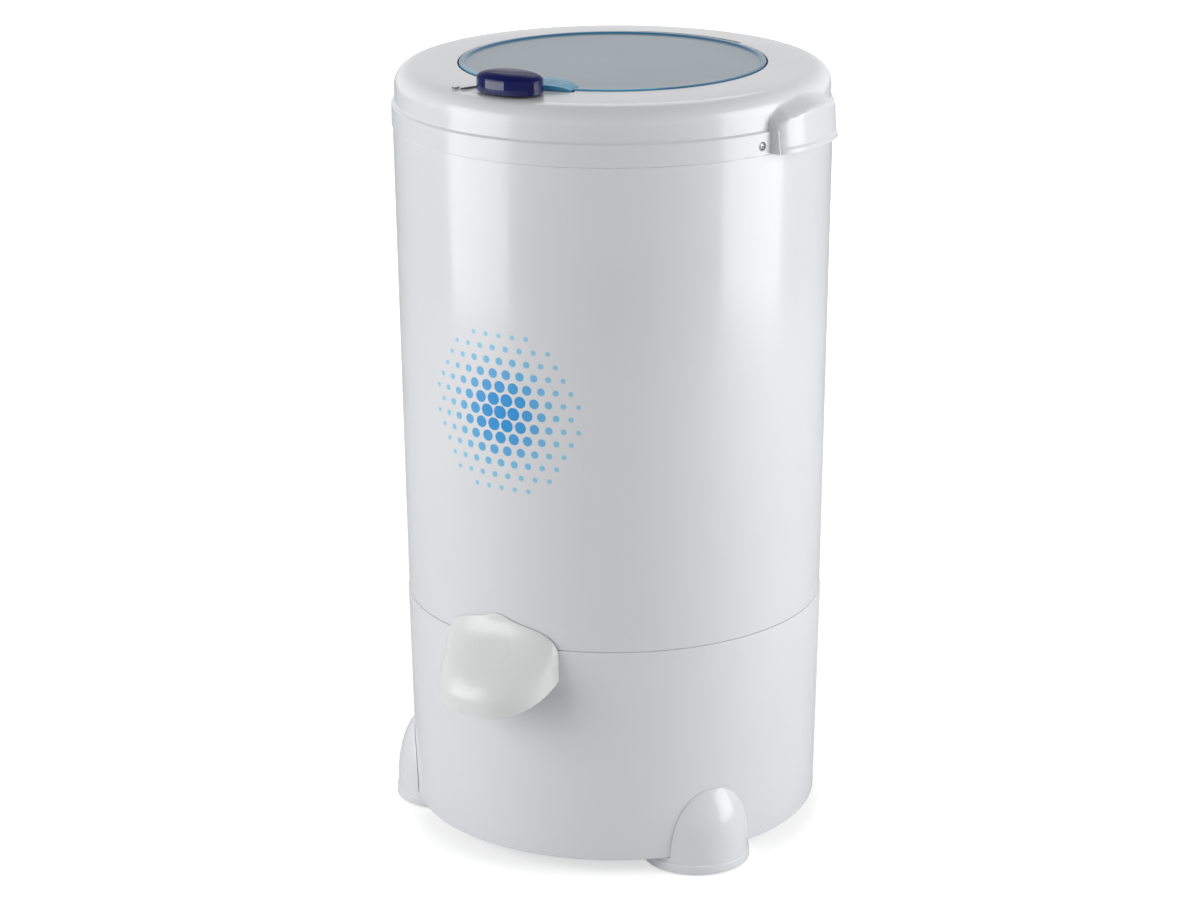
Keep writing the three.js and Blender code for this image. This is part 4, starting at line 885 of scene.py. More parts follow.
def floor_vent(s, angle):
    """Cutter of one slot with round ends in the floor."""
    half = s.vent_width / 2
    turns = [math.pi * k / 8 for k in range(9)]
    near = [(half * math.cos(a), s.vent_inner + half - half * math.sin(a)) for a in turns]
    far = [(-x, s.vent_outer - (y - s.vent_inner)) for x, y in near]
    return turned(slab(near + far, s.bottom - 5 * MM, s.bottom + 8 * MM), angle)


def mount_post(s, angle):
    """Post under one of the motor's rubber mounts, with a rib that ties it to the wall."""
    reach = 112 * MM
    low, high = s.bottom + 1 * MM, s.bottom + 133 * MM
    post = spun([
        (0, low), (11 * MM, low), (11 * MM, s.bottom + 132.2 * MM), (10.2 * MM, high), (0, high),
    ], 40)
    rib = box_between((-1.25 * MM, -161.2 * MM, low), (1.25 * MM, -reach, s.bottom + 80 * MM))
    return added(moved(post, *polar(reach, angle), 0), turned(rib, angle))


class DRYER_OT_casing(Operator):
    """Build the lower shell with its floor, vents and motor posts, and the upper shell"""

    bl_idname = "dryer.casing"
    bl_label = "Casing"

    def execute(self, context):
        s = context.scene.dryer_casing
        tools = [floor_vent(s, (i + 0.5) * 2 * math.pi / VENTS) for i in range(VENTS)]
        tools.append(spoke(9.3 * MM + s.fit, 200 * MM, 140 * MM, 0, s.hose_height))
        tools.append(spoke(8 * MM, 140 * MM, 180 * MM, s.inlet_angle, s.inlet_height))
        shell = cut(spun(lower_outline(s)), *tools)
        shell = added(shell, *[mount_post(s, math.radians(angle)) for angle in (60, 180, 300)])
        piece(shell, "lower_casing", "lower_shell")
        piece(spun(upper_outline(s)), "upper_casing", "body_shell", finish="printed_plastic")
        return {"FINISHED"}


def quarter_angles():
    """Angles of the cover's columns over a quarter turn, closer together where a grip and the band end."""
    spans = [(0, 74, 28), (74, 79, 26), (79, 90, 13)]
    return [start + (end - start) * k / count for start, end, count in spans for k in range(count)]


def arch_height(lateral, s):
    """Height of a grip's upper edge at a distance from the grip's middle."""
    return s.grip_top - 4.0 * MM * smooth(lateral, 0, 38 * MM) - 7.5 * MM * smooth(lateral, 30 * MM, 50 * MM)


def cover_column(angle, r, z, s):
    """Reach of the cover's skin on one column: band, bare side and grip."""
    if r < s.side_radius - s.shoulder - 4 * MM:
        return r
    lateral = FAR_FROM_GRIP
    if abs(math.cos(angle)) < 0.75:
        grip = math.copysign(math.pi / 2, math.sin(angle))
        lateral = abs(GRIP_CIRCLE * math.sin(angle - grip))
    low = s.top - 46 * MM
    extra = r - s.side_radius
    if extra > 0:
        r = s.side_radius + extra * smooth(lateral, s.band_end - 0.7 * MM, s.band_end + 0.7 * MM)
    edge = arch_height(lateral, s)
    bulge = 1 - smooth(z, edge - 4 * MM, edge + 4.5 * MM)
    bulge *= max(0, 1 - min(1, lateral / s.grip_half) ** GRIP_FULLNESS) ** (1 / GRIP_FULLNESS)
    lean = 1.2 * MM * smooth(z, low, edge)
    bead = 1 - smooth(abs(z - low - 1.9 * MM), 1.6 * MM, 3.2 * MM)
    return r + (s.grip_reach - lean) * bulge + s.grip_bead * bead * min(1, 1.6 * bulge)


def cover_outline(s, bottom, floor):
    """Outline of the cover's skin, up the band and side, over the shoulder and down into the neck."""
    height = s.top - s.fall - s.shoulder
    step = s.band_top + 3 * MM
    band = [(s.band_radius, bottom + (s.band_top - bottom) * k / 10) for k in range(9)]
    corner = rounded([
        (s.band_radius, s.band_top - 3 * MM),
        (s.band_radius, s.band_top - 0.2 * MM, 0.8 * MM),
        (s.side_radius, s.band_top + 0.9 * MM, 0.8 * MM),
        (s.side_radius, step),
    ], closed=False)[1:-1]
    side = [(s.side_radius, step + (height - s.band_top - 3 * MM) * k / 6) for k in range(6)]
    centre = s.side_radius - s.shoulder
    inner = rounded([
        (centre - 1 * MM, s.top - s.fall + 0.05 * MM),
        (s.recess_radius, s.top, 0.9 * MM),
        (s.recess_radius, floor, 0.6 * MM),
        (s.neck_radius, floor, 1.2 * MM),
        (s.neck_radius - 1 * MM, s.top - s.neck_depth),
    ], closed=False)[1:]
    return band + corner + side + arc_points(centre, height, s.shoulder, 0, 88, 22) + inner


def cover_skin(s, bottom, floor):
    """The cover's skin: an even turn, its columns moved to their own angles and drawn out at the grips."""
    angles = quarter_angles()
    quarter = len(angles)
    count = 4 * quarter
    bm = spun(cover_outline(s, bottom, floor), count, closed=False)
    for v in bm.verts:
        index = round(math.atan2(v.co.x, -v.co.y) / (2 * math.pi) * count) % count
        part, rest = divmod(index, quarter)
        if part % 2 == 0:
            degrees = angles[rest]
        else:
            degrees = 90 - angles[quarter - rest] if rest else 0
        angle = math.radians(90 * part + degrees)
        v.co.x, v.co.y = polar(cover_column(angle, math.hypot(v.co.x, v.co.y), v.co.z, s), angle)
    return faced_out(bm, 2)


def cover_liner(s, casing, lid, bottom, floor):
    """What is behind the cover's skin: the ring on the casing, the two trays and the hinge's bosses."""
    inner, fit, outer = 165.3 * MM, 167.2 * MM, 168.1 * MM
    low, high = casing.top - 9 * MM, 596 * MM
    ring = spun([(inner, low), (fit, low), (fit, bottom), (outer, bottom), (outer, high), (inner, high)])
    tray_low = s.top - BAY_DEPTH - casing.wall
    tray = wedge(section(s.recess_radius + 0.5 * MM, 128 * MM, tray_low, s.top - 1.5 * MM),
                 0, lid.tab_angle + math.radians(3), 40)
    under = POCKET_FLOOR - 2.5 * MM
    hinge_tray = wedge([(107.8 * MM, under), (126.5 * MM, under), (126.5 * MM, s.top - 1 * MM),
                        (107.8 * MM, floor - 0.5 * MM)], math.pi, math.asin(51.5 / 126), 40)
    bosses = [
        box_between((x, 106 * MM, floor - 1 * MM), (x + 8 * MM, 116 * MM, s.top - 0.3 * MM))
        for x in (48 * MM, -56 * MM)
    ]
    return ring, tray, hinge_tray, *bosses


def cover_cutters(s, lid, knob):
    """Room in the cover for the finger bay, the hinge, the knob's stem and the screws."""
    above = s.top + 5 * MM
    bay = wedge(section(100 * MM, lid.tab_outer + 1.2 * MM, s.top - BAY_DEPTH, above),
                0, lid.tab_angle + math.radians(1.2), 44)
    pocket = wedge(section(108.6 * MM, 124 * MM, POCKET_FLOOR, above), math.pi, math.asin(49 / 124), 44)
    bore = peg(5.3 * MM, 0, -knob.offset, s.top - 30 * MM, above)
    screws = [spoke(s.screw_head + 0.5 * MM, 169 * MM, 180 * MM, angle, s.screw_height, 40)
              for angle in screw_angles(s)]
    return bay, pocket, bore, *screws


def splash_collar(s, casing):
    """The tub's annular cover with its collar, with a hole for the brake cable."""
    low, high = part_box("splash_ring")
    edge = (high.x - low.x) / 2
    plate = low.z + 5 * MM
    plate_top = plate + 2.5 * MM
    inner = s.neck_radius + casing.wall + 0.6 * MM
    outer = inner + casing.wall
    ring = spun(rounded([
        (inner, low.z, 0.6 * MM), (outer, low.z, 0.6 * MM), (outer, plate, 0.4 * MM),
        (edge, plate, 0.4 * MM), (edge, plate_top, 0.4 * MM), (outer, plate_top, 0.8 * MM),
        (outer, high.z, 0.8 * MM), (inner, high.z, 0.8 * MM),
    ]), 144)
    cable = polar(154.4 * MM, math.radians(61.8))
    return cut(ring, peg(3.2 * MM, *cable, low.z - 5 * MM, high.z + 5 * MM, 24))


def lock_marks(top):
    """The dot and the tapered line beside the knob, let into the cover's top."""
    sunk = top - 0.9 * MM
    dot = spun(rounded([
        (0, sunk), (2.5 * MM, sunk), (2.5 * MM, top + 0.3 * MM, 0.5 * MM), (0, top + 0.9 * MM),
    ], closed=False), 48, closed=False)
    ring = spun(section(2.55 * MM, 2.95 * MM, sunk, top + 0.1 * MM), 48)
    ends = [(-38.3, -149.5, 0.4), (-35.6, -142.4, 0.8), (-32, -134.8, 1.1)]
    near = [(x * MM + w * MM, y * MM) for x, y, w in ends]
    far = [(x * MM - w * MM, y * MM) for x, y, w in reversed(ends)]
    line = slab(near + far, top - 1.2 * MM, top + 0.12 * MM)
    place = (-44.3 * MM, -147.2 * MM, 0)
    return moved(dot, *place), joined(moved(ring, *place), line)


class DRYER_OT_cover(Operator):
    """Build the top cover with its grips, recess and neck, the tub's splash collar and the lock marks"""

    bl_idname = "dryer.cover"
    bl_label = "Top cover"

    def execute(self, context):
        s = context.scene.dryer_cover
        casing = context.scene.dryer_casing
        lid = context.scene.dryer_lid
        bottom = casing.top + casing.fit
        floor = s.top - s.recess_depth
        shell = walled(cover_skin(s, bottom, floor), casing.wall)
        shell = added(shell, *cover_liner(s, casing, lid, bottom, floor), overlapping=True)
        shell = cut(shell, *cover_cutters(s, lid, context.scene.dryer_knob))
        hook_slot = box_between((-10.5 * MM, -115.3 * MM, floor - 9 * MM), (12.5 * MM, -109.2 * MM, s.top))
        piece(cut(shell, hook_slot), "top_moulding", "top_cover")
        piece(splash_collar(s, casing), "splash_collar", "splash_ring")
        dot, line = lock_marks(s.top)
        piece(dot, "lock_mark", slot="white_plastic")
        piece(line, "lock_line", slot="grey_rubber")
        return {"FINISHED"}


def screw_angles(s):
    quarter = math.pi / 2
    return [side * quarter + sign * s.screw_angle for side in (1, -1) for sign in (1, -1)]


class DRYER_OT_screws(Operator):
    """Build the four cross-head screws of the cover"""

    bl_idname = "dryer.screws"
    bl_label = "Screws"

    def execute(self, context):
        s = context.scene.dryer_cover
        r = s.screw_head
        outline = rounded([
            (0, -11 * MM), (1.2 * MM, -11 * MM, 0.3 * MM), (1.5 * MM, 0), (r, 0, 0.2 * MM),
            (r, 0.7 * MM, 0.4 * MM), (1.9 * MM, 1.6 * MM, 1.5 * MM), (0, 1.8 * MM),
        ], closed=False, steps=4)
        corners = (-2 * MM, -0.45 * MM, -0.4 * MM), (2 * MM, 0.45 * MM, 3 * MM)
        for number, angle in enumerate(screw_angles(s), 1):
            head = spun(outline, 40, closed=False)
            cross = [turned(box_between(*corners), across) for across in (0, math.pi / 2)]
            head = turned(cut(head, *cross, overlapping=True), number * SCREW_TURN)
            facing_out(head, angle, SCREW_SEAT, s.screw_height)
            piece(head, f"cross_screw_{number}", nearest_node("cover_screw", head))
        return {"FINISHED"}


def knob_outline(k, grow, count=96):
    return oval(k.long_side / 2 + grow, k.short_side / 2 + grow, 2.2, count)


def knob_sweep(k, grow, low, high):
    """Prism of the room that the knob sweeps, as it turns."""
    count = 120
    reach = [0.0] * count
    outline = knob_outline(k, grow, 720)
    for step in range(13):
        angle = -k.travel * step / 12
        for x, y in outline:
            index = round((math.atan2(y, x) + angle) / (2 * math.pi) * count) % count
            reach[index] = max(reach[index], math.hypot(x, y))
    points = []
    for i, r in enumerate(reach):
        a = 2 * math.pi * i / count
        points.append((r * math.cos(a), r * math.sin(a) - k.offset))
    return slab(points, low, high)


def lid_plate(s, top, plate_top, plate_low):
    """The lid's plate, with its raised rim and the skirt under it."""
    inner = s.radius - s.rim
    rim_low = top - s.rim_height
    skirt_inner = s.skirt_radius - 2.5 * MM
    skirt_low = plate_low - s.skirt_depth
    return spun(rounded([
        (0, plate_low), (60 * MM, plate_low), (78 * MM, plate_low),
        (skirt_inner, plate_low, 0.5 * MM), (skirt_inner, skirt_low, 0.8 * MM),
        (s.skirt_radius, skirt_low, 0.8 * MM), (s.skirt_radius, plate_low, 0.5 * MM),
        (inner, plate_low, 0.5 * MM), (inner, rim_low, 0.8 * MM),
        (s.radius, rim_low, 0.8 * MM), (s.radius, top, 1.3 * MM), (inner, top, 0.9 * MM),
        (inner - 1 * MM, plate_top, 0.9 * MM), (100 * MM, plate_top), (90 * MM, plate_top),
        (s.tab_inner - 1 * MM, plate_top), (60 * MM, plate_top), (0, plate_top),
    ], closed=False))


def finger_tab(s, cover_top, top, plate_top):
    """The ribbed finger tab: a wedge that is drawn to the shape of a lens and let down towards its ends."""
    start = s.tab_inner + 8 * MM
    end = s.tab_outer - 1.5 * MM
    crest = top + s.tab_rise
    under = cover_top - 2.7 * MM
    root = plate_top - 1 * MM
    skim = plate_top + 0.1 * MM
    rim = s.radius - 2 * MM
    pitch = (end - start) / s.tab_ribs
    ribs = []
    for i in range(s.tab_ribs):
        level = crest - 1.4 * MM * (1 - (i + 0.5) / s.tab_ribs) ** 2
        for k in range(6):
            share = k / 6
            ribs.append((start + i * pitch + pitch * share, level - 0.75 * MM * (2 * share - 1) ** 4))
    lip = rounded([(end, crest - 0.4 * MM), (s.tab_outer, crest - 0.3 * MM, 1.4 * MM),
                   (s.tab_outer, under, 0.6 * MM), (s.radius - 1 * MM, under)], closed=False)
    tab = wedge([
        (s.tab_inner, root), (s.tab_inner, skim), (start - 4 * MM, crest - 3.0 * MM),
        (start - 1.5 * MM, crest - 2.2 * MM), *ribs, *lip, (s.radius - 1 * MM, root),
    ], 0, s.tab_angle, 60)
    for v in tab.verts:
        reach = math.hypot(v.co.x, v.co.y)
        share = abs(math.atan2(v.co.x, -v.co.y)) / s.tab_angle
        if reach < rim:
            v.co.xy *= (rim - (rim - reach) * (1 - 0.45 * share ** 2)) / reach
        drop = 2.6 * MM * max(0, share - 0.55) ** 2 / 0.45 ** 2
        if v.co.z > plate_top + 0.3 * MM:
            v.co.z = max(skim if reach < s.radius else under, v.co.z - drop)

    def at_end(v):
        return abs(abs(math.atan2(v.co.x, -v.co.y)) - s.tab_angle) < 1e-4

    ends = [e for e in tab.edges if e.is_manifold and e.calc_face_angle(0) > math.radians(50)
            and all(at_end(v) for v in e.verts)]
    bmesh.ops.bevel(tab, geom=ends, offset=0.5 * MM, offset_type="OFFSET", segments=3, profile=0.5,
                    affect="EDGES", material=-1, clamp_overlap=True)
    return tab


class DRYER_OT_lid(Operator):
    """Build the see-through lid with its rim, skirt and ribbed finger tab, and its seal"""

    bl_idname = "dryer.lid"
    bl_label = "Lid"

    def execute(self, context):
        s = context.scene.dryer_lid
        cover = context.scene.dryer_cover
        top = cover.top + s.rise
        plate_top = top - 1.5 * MM
        plate_low = plate_top - s.plate
        lid = added(lid_plate(s, top, plate_top, plate_low), finger_tab(s, cover.top, top, plate_top))
        notch = knob_sweep(context.scene.dryer_knob, 1 * MM, top - s.rim_height - 5 * MM, top + 10 * MM)
        trim = box_between((-28 * MM, 110 * MM, plate_low - 20 * MM), (28 * MM, 200 * MM, plate_low))
        hinge = Vector((0, 111 * MM, top - 2.7 * MM))
        pins = [rod(1.6 * MM, (side * 30.7 * MM, hinge.y, hinge.z), (side * 60 * MM, hinge.y, hinge.z), 24)
                for side in (1, -1)]
        piece(cut(lid, notch, trim, *pins), "lid_disc", "lid_window", body="lid", sharp=math.radians(14))
        inner, outer = 106.2 * MM, 108.5 * MM
        low, high = cover.top - cover.recess_depth + 0.3 * MM, plate_low - 0.3 * MM
        seal = spun(rounded([(inner, low, 0.5 * MM), (outer, low, 0.5 * MM),
                             (outer, high, 1.1 * MM), (inner, high, 1.1 * MM)]))
        piece(seal, "mouth_seal", "lid_seal")
        return {"FINISHED"}


def knob_rings(k, base, inset, low):
    """Rings of the knob's skin from its lower edge to the top of its dome."""
    levels = [(low, 1.0), (0.6 * MM, 1.0)] if low < 0 else [(0.0, 0.985), (0.5 * MM, 1.0)]
    dome = k.side - 0.8 * MM
    levels += [(k.side * 0.5, 1.0), (dome, 0.998)]
    for i in range(1, DOME_STEPS):
        angle = i / DOME_STEPS * math.pi / 2
        level = dome + (k.height - k.side + 0.8 * MM) * math.sin(angle) ** 1.15
        levels.append((level, math.cos(angle) ** 0.62))
    outline = knob_outline(k, -inset)
    return [[(x * scale, y * scale - k.offset, base + z - (inset if z > 0 else 0)) for x, y in outline]
            for z, scale in levels]


class DRYER_OT_knob(Operator):
    """Build the knob that locks the lid"""

    bl_idname = "dryer.knob"
    bl_label = "Knob"

    def execute(self, context):
        k = context.scene.dryer_knob
        base = context.scene.dryer_cover.top + 0.5 * MM
        shell = cut(skinned(knob_rings(k, base, 0, 0)), skinned(knob_rings(k, base, 2.2 * MM, -5 * MM)))
        shell = added(shell, peg(7 * MM, 0, -k.offset, base + 0.2 * MM, base + k.height - 1.4 * MM))
        shell = cut(shell, peg(5.3 * MM, 0, -k.offset, base - 5 * MM, base + 9 * MM))
        piece(shell, "lock_knob", "knob_cap", body="knob")
        return {"FINISHED"}


def hood_rings(h, inset, seam_radius):
    """Level rings of the spout hood, or of the hollow in it, from below its lip to its top."""
    root = seam_radius - 8 * MM
    edge = seam_radius + 1.4 * MM
    start = 130 * MM
    low = h.tip_height + 11 * MM
    back = 20 * MM - root
    rings = []
    for k in range(HOOD_LEVELS + 1):
        z = start + (h.top - start) * (1 - (1 - k / HOOD_LEVELS) ** 1.7) - inset
        reach = edge + (h.tip_reach - edge) * (1 - smooth(z, low, h.top - 3.7 * MM)) - root - inset
        rise = max(0, (z + inset - h.shoulder) / (h.top + 0.3 * MM - h.shoulder))
        half = max(0.4 * MM, (h.half_width - inset) * (1 - min(1, rise) ** 2) ** 0.5)
        ring = []
        for i in range(HOOD_STEPS + 1):
            angle = math.pi * (i / HOOD_STEPS - 0.5)
            s, c = math.sin(angle), abs(math.cos(angle))
            across = half * math.copysign(abs(s) ** HOOD_SQUARENESS, s)
            ring.append((across, -root - reach * c ** HOOD_SQUARENESS, z))
        rings.append(ring + [(half, back, z), (-half, back, z)])
    return rings


class DRYER_OT_hood(Operator):
    """Build the spout hood and the drain hose under it"""

    bl_idname = "dryer.hood"
    bl_label = "Spout hood"

    def execute(self, context):
        h = context.scene.dryer_hood
        c = context.scene.dryer_casing
        shell = cut(*[skinned(hood_rings(h, inset, c.upper_seam_radius)) for inset in (0, c.wall)])
        low, high = c.bottom + 60 * MM, c.seam + 80 * MM
        plug = spun([
            (0, low), (lower_radius(c, low) + c.fit, low), (c.lower_seam_radius + c.fit, c.seam + c.fit),
            (upper_radius(c, high) + c.fit, high), (0, high),
        ])
        shell = cut(shell, plug)
        back = 157 * MM
        slope = (h.back_height - h.tip_height) / (h.tip_reach - back)
        result = bmesh.ops.bisect_plane(
            shell, geom=shell.verts[:] + shell.edges[:] + shell.faces[:],
            plane_co=Vector((0, -back, h.back_height)), plane_no=(0, slope, -1), clear_outer=True, dist=1e-7,
        )
        cut_edges = [g for g in result["geom_cut"] if isinstance(g, bmesh.types.BMEdge)]
        bmesh.ops.holes_fill(shell, edges=cut_edges)
        piece(shell, "hood_moulding", "spout_hood")
        path = hose_path(c)
        hose = skinned(tube_rings(path, 9 * MM, 28) + tube_rings(path, 7.2 * MM, 28)[::-1], closed=True)
        piece(hose, "outlet_hose", "drain_hose")
        return {"FINISHED"}


def hose_path(c):
    """Places along the drain hose, from the tub down, out through the casing and down again."""
    bend = 14 * MM
    start, end = -128 * MM, -186 * MM
    quarter = [math.pi / 2 * k / 12 for k in range(13)]
    places = [(start, HOSE_TOP)]
    places += [(start - bend * (1 - math.cos(a)), c.hose_height + bend * (1 - math.sin(a))) for a in quarter]
    places += [(end + bend * (1 - math.sin(a)), c.hose_height - bend * (1 - math.cos(a))) for a in quarter]
    places.append((end, HOSE_END))
    return [Vector((0, y, z)) for y, z in places]


def tube_rings(path, radius, sides):
    across = Vector((1, 0, 0))
    angles = [2 * math.pi * k / sides for k in range(sides)]
    rings = []
    for i, place in enumerate(path):
        ahead = path[min(i + 1, len(path) - 1)] - path[max(i - 1, 0)]
        ahead.normalize()
        up = ahead.cross(across)
        rings.append([place + (across * math.cos(a) + up * math.sin(a)) * radius for a in angles])
    return rings


def dome_radius(f, c, z):
    """Radius of a foot's dome at a height: a superellipse beside the foot's own axis."""
    inset = 26 * MM
    widest = math.sqrt((40.9 * MM) ** 2 - inset ** 2)
    rise = min(1, max(0, (z - c.bottom) / (f.height - c.bottom)))
    return math.sqrt(inset ** 2 + (widest * (1 - rise ** 2.2) ** (1 / 2.2)) ** 2)


def casing_room(c, gap):
    """Cutter of the room that the casing takes above a foot, with a gap round it."""
    low, high = c.bottom - gap, 100 * MM
    return spun([(0, low), (lower_radius(c, low) + gap, low), (lower_radius(c, high) + gap, high), (0, high)])


def moulded_foot(f, c):
    """One foot at the front: a half dome on a flange, hollow, with a seat for its pad."""
    steps = 40
    heights = [f.flange + (f.height - f.flange) * math.sin(math.pi / 2 * k / steps) for k in range(steps + 1)]
    dome = [(dome_radius(f, c, z), z) for z in heights]
    flange = rounded([
        (3 * MM, f.clearance), (f.radius, f.clearance, 0.8 * MM), (f.radius, f.flange, 1.2 * MM),
        (dome[0][0] - 1 * MM, f.flange),
    ], closed=False)[1:-1]
    foot = spun([(0, f.clearance), *flange, *dome, (0, f.height)], 120, closed=False)
    core = 19.5 * MM
    inner = f.radius - f.wall
    hollow = [(core, -1 * MM), (inner, -1 * MM), (inner, 5 * MM)]
    hollow += [(dome_radius(f, c, z) - f.wall, z) for z in [(8 + 6 * k) * MM for k in range(9)]]
    cavity = moved(spun(hollow + [(core, 56 * MM)], 96), 0, -f.offset, 0)
    cavity = cut(cavity, casing_room(c, c.fit + f.wall))
    seat = peg(f.pad_radius + 0.3 * MM, 0, -f.offset, -5 * MM, f.pad_height + 0.3 * MM)
    return cut(moved(foot, 0, -f.offset, 0), casing_room(c, c.fit), cavity, seat, overlapping=True)


def rubber_pad(f):
    """One pad at the front, with three round grooves in its sole."""
    r = f.pad_radius
    outline = [(0, 0), (r, 0, 1.2 * MM), (r, f.pad_height, 0.3 * MM), (0, f.pad_height)]
    pad = spun(rounded(outline, closed=False), SMALL_ROUND, closed=False)
    grooves = [
        spun(section(q, q + 1.4 * MM, -1 * MM, 0.7 * MM), SMALL_ROUND)
        for q in (4 * MM, 8 * MM, 11.5 * MM)
    ]
    return moved(cut(pad, *grooves), 0, -f.offset, 0)


class DRYER_OT_feet(Operator):
    """Build the three feet and their rubber pads"""

    bl_idname = "dryer.feet"
    bl_label = "Feet"

    def execute(self, context):
        f = context.scene.dryer_foot
        c = context.scene.dryer_casing
        nodes = {60: "foot_front_right", 180: "foot_rear", 300: "foot_front_left"}
        for number, (degrees, node) in enumerate(nodes.items(), 1):
            foot = turned(moulded_foot(f, c), math.radians(degrees))
            piece(foot, f"moulded_foot_{number}", node)
            pad = turned(rubber_pad(f), math.radians(degrees))
            piece(pad, f"rubber_pad_{number}", nearest_node("foot_pad", pad))
        return {"FINISHED"}


def repeated(bm, count, step, stagger=0.0):
    """Copies of all that the mesh holds, each moved on by a step, every second one also by the stagger."""
    first = bm.verts[:] + bm.edges[:] + bm.faces[:]
    for number in range(1, count):
        copy = bmesh.ops.duplicate(bm, geom=first)["geom"]
        across = stagger if number % 2 else 0
        bmesh.ops.translate(bm, vec=(number * step[0] + across, number * step[1], 0),
                            verts=[g for g in copy if isinstance(g, bmesh.types.BMVert)])


def drain_wall(b, border, straight):
    """The basket's wall as an open sheet: one flat cell with a hole, repeated and rolled round."""
    width = 2 * math.pi / b.columns
    pitch = (straight - 2 * border) / b.rows
    bm = bmesh.new()
    hole = bmesh.ops.create_circle(bm, cap_ends=False, segments=16, radius=1.0)["verts"]
    rim = bmesh.ops.create_circle(bm, cap_ends=False, segments=16, radius=1.0)["verts"]
    for v in hole:
        v.co = Vector((v.co.x * (b.hole / b.radius), v.co.y * b.hole, 0))
    for v in rim:
        stretch = max(abs(v.co.x), abs(v.co.y))
        v.co = Vector((v.co.x / stretch * width / 2, v.co.y / stretch * pitch / 2, 0))
    bmesh.ops.bridge_loops(bm, edges=bm.edges[:])
    repeated(bm, b.columns, (width, 0))
    repeated(bm, b.rows, (0, pitch), width / 2)
    bmesh.ops.remove_doubles(bm, verts=bm.verts, dist=1e-5)
    start = b.floor + border + pitch / 2
    for v in bm.verts:
        v.co = Vector((*polar(b.radius, v.co.x), start + v.co.y))
    return bm


def basket_sheet(b):
    """The basket's sheet: the wall with its holes, the plain border below and the rolled shoulder above."""
    border = 26 * MM
    straight = b.top - b.shoulder - b.floor
    cells = 4 * b.columns
    below = spun([(b.radius, b.floor), (b.radius, b.floor + border)], cells, closed=False)
    above = spun([(b.radius, b.floor + straight - border),
                  *arc_points(b.radius - b.shoulder, b.top - b.shoulder, b.shoulder, 0, 90, 12),
                  (b.mouth, b.top)], cells, closed=False)
    sheet = joined(drain_wall(b, border, straight), below, above)
    bmesh.ops.remove_doubles(sheet, verts=sheet.verts, dist=2e-5)
    return walled(faced_out(sheet, 0), b.sheet)


def basket_base(b):
    """The pressed base, which rises to the hub."""
    rim = b.radius - b.sheet - 0.3 * MM
    low = b.floor + 1.5 * MM
    hub = b.floor + 35 * MM
    gauge = 1.5 * MM
    return spun(rounded([
        (rim, low + 14 * MM, 0.4 * MM), (rim, low, 3.5 * MM), (60 * MM, low, 12 * MM),
        (32 * MM, hub, 8 * MM), (8.3 * MM, hub), (8.3 * MM, hub + gauge),
        (33 * MM, hub + gauge, 9.5 * MM), (61 * MM, low + gauge, 10.5 * MM),
        (rim - gauge, low + gauge, 2 * MM), (rim - gauge, low + 14 * MM, 0.4 * MM),
    ], steps=8), 144)


def basket_rim(b):
    """The moulded rim that grips the sheet's edge at the mouth."""
    inner, outer = b.mouth - 4 * MM, b.mouth + 4 * MM
    throat = b.mouth - 0.3 * MM
    under = b.top - b.sheet
    return spun(rounded([
        (inner, under - 2.5 * MM, 1.6 * MM), (outer, under - 2.5 * MM, 0.8 * MM),
        (outer, under - 0.3 * MM, 0.2 * MM), (throat, under - 0.3 * MM),
        (throat, b.top + 0.3 * MM), (outer, b.top + 0.3 * MM, 0.2 * MM),
        (outer, b.top + 2.5 * MM, 1.2 * MM), (inner, b.top + 2.5 * MM, 1.8 * MM),
    ]), 144)


class DRYER_OT_basket(Operator):
    """Build the perforated basket, its base and its rolled rim"""

    bl_idname = "dryer.basket"
    bl_label = "Basket"

    def execute(self, context):
        b = context.scene.dryer_basket
        piece(basket_sheet(b), "basket_sheet", "drum_wall", body="drum")
        piece(basket_base(b), "basket_base", "drum_base", body="drum")
        piece(basket_rim(b), "basket_rim", "drum_rim", body="drum")
        return {"FINISHED"}


class DRYER_OT_inlet(Operator):
    """Build the grommet of the cable inlet"""

    bl_idname = "dryer.inlet"
    bl_label = "Cable inlet"

    def execute(self, context):
        c = context.scene.dryer_casing
        rows = [(4.2, -8, 0.5), (11, -8, 0.6), (11, -3.9, 0.6), (7.7, -3.9), (7.7, 0.3),
                (11, 0.3, 0.4), (11, 2.5, 1.2), (7, 6, 1.2), (4.2, 6, 0.5)]
        grommet = spun(rounded([[value * MM for value in row] for row in rows]), SMALL_ROUND)
        facing_out(grommet, c.inlet_angle, lower_radius(c, c.inlet_height), c.inlet_height)
        piece(grommet, "inlet_grommet", "cable_inlet")
        return {"FINISHED"}


class DRYER_OT_dress(Operator):
    """Give the CAD nodes that stay their materials"""

    bl_idname = "dryer.dress"
    bl_label = "Inner pieces"

    def execute(self, context):
        for name, obj in NODES.items():
            obj.data.materials.clear()
            obj.data.materials.append(MATERIALS[SLOTS[name]])
        return {"FINISHED"}


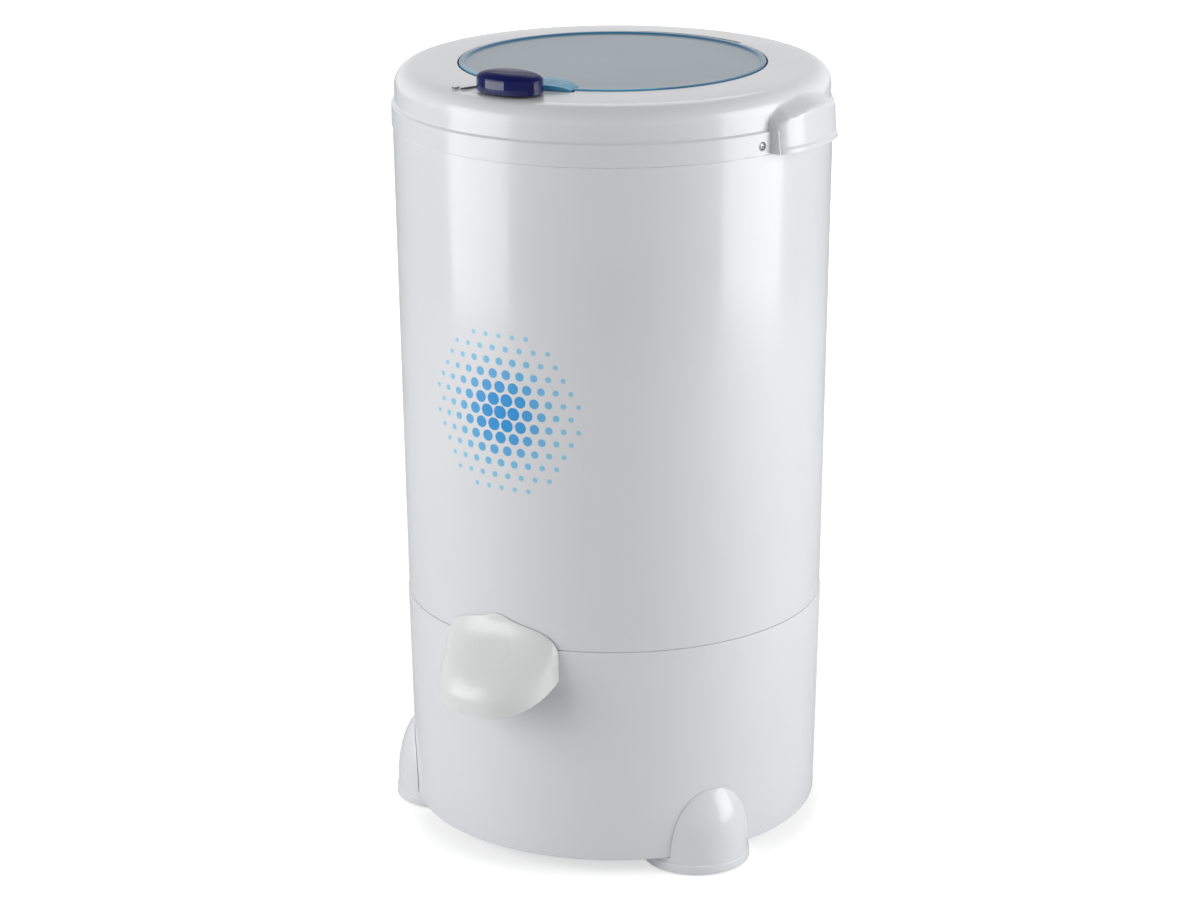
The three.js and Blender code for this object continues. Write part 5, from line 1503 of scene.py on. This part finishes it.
class DRYER_OT_stage(Operator):
    """Lay the floor and set the soft lights"""

    bl_idname = "dryer.stage"
    bl_label = "Stage"

    def execute(self, context):
        bm = bmesh.new()
        bmesh.ops.create_grid(bm, x_segments=1, y_segments=1, size=6)
        mesh = bpy.data.meshes.new("floor")
        bm.to_mesh(mesh)
        bm.free()
        floor = bpy.data.objects.new("floor", mesh)
        context.scene.collection.objects.link(floor)
        mesh.materials.append(floor_material())
        for name, (place, size, power) in LAMPS.items():
            lamp = bpy.data.lights.new(name, "AREA")
            lamp.shape = "RECTANGLE"
            lamp.size, lamp.size_y = size
            lamp.energy = power
            obj = bpy.data.objects.new(name, lamp)
            obj.location = place
            aim = Vector(LAMP_AIM) - Vector(place)
            obj.rotation_euler = aim.to_track_quat("-Z", "Y").to_euler()
            context.scene.collection.objects.link(obj)
        set_world(context.scene)
        context.scene.view_settings.view_transform = "Standard"
        return {"FINISHED"}


def floor_material():
    """White floor that melts into the background and keeps the shadow: a share of its light is its own."""
    finish = Finish("floor")
    tree = finish.tree
    seen = node_of(tree, "ShaderNodeLightPath", output="Is Camera Ray")
    away = finish.place.length().ramp(0.3, 1.8, FLOOR_GLOW, 1.0)
    finish.set(Base_Color=(0.8, 0.8, 0.8), Roughness=0.9, Specular_IOR_Level=0.0)
    glow = mixed(tree, seen * away, (0.0, 0.0, 0.0), (1.0, 1.0, 1.0))
    finish.set(Emission_Color=glow, Emission_Strength=1.0)
    return finish.material


def set_world(scene):
    """Pure white to the camera and in reflections, softer as a light."""
    world = bpy.data.worlds.new("studio")
    world.use_nodes = True
    scene.world = world
    tree = world.node_tree
    background = tree.nodes["Background"]
    ray = tree.nodes.new("ShaderNodeLightPath")
    kinds = [Socket(tree, ray.outputs[f"Is {kind} Ray"]) for kind in ("Camera", "Transmission", "Glossy")]
    seen = kinds[0].math("MAXIMUM", kinds[1]).math("MAXIMUM", kinds[2])
    background.inputs["Color"].default_value = (1, 1, 1, 1)
    feed(tree, background.inputs["Strength"], seen * 0.7 + 0.3)


OPERATORS = (
    DRYER_OT_camera,
    DRYER_OT_materials,
    DRYER_OT_casing,
    DRYER_OT_cover,
    DRYER_OT_screws,
    DRYER_OT_lid,
    DRYER_OT_knob,
    DRYER_OT_hood,
    DRYER_OT_feet,
    DRYER_OT_basket,
    DRYER_OT_inlet,
    DRYER_OT_dress,
    DRYER_OT_stage,
)


class DRYER_PT_panel(Panel):
    """Spin dryer pieces and sizes"""

    bl_idname = "DRYER_PT_panel"
    bl_label = "Spin dryer"
    bl_space_type = "VIEW_3D"
    bl_region_type = "UI"
    bl_category = "Spin dryer"

    def draw(self, context):
        layout = self.layout
        for operator in OPERATORS:
            layout.operator(operator.bl_idname)
        for key, group in SETTINGS.items():
            box = layout.box()
            box.label(text=group.__name__)
            for field in group.__annotations__:
                box.prop(getattr(context.scene, key), field)


def register():
    for group in SETTINGS.values():
        bpy.utils.register_class(group)
    for key, group in SETTINGS.items():
        setattr(bpy.types.Scene, key, bpy.props.PointerProperty(type=group))
    for operator in OPERATORS:
        bpy.utils.register_class(operator)
    bpy.utils.register_class(DRYER_PT_panel)


def unregister():
    bpy.utils.unregister_class(DRYER_PT_panel)
    for operator in reversed(OPERATORS):
        bpy.utils.unregister_class(operator)
    for key, group in SETTINGS.items():
        delattr(bpy.types.Scene, key)
        bpy.utils.unregister_class(group)


def main():
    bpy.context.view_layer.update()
    register()
    for operator in OPERATORS:
        group, name = operator.bl_idname.split(".")
        getattr(getattr(bpy.ops, group), name)()


if __name__ == "__main__":
    main()
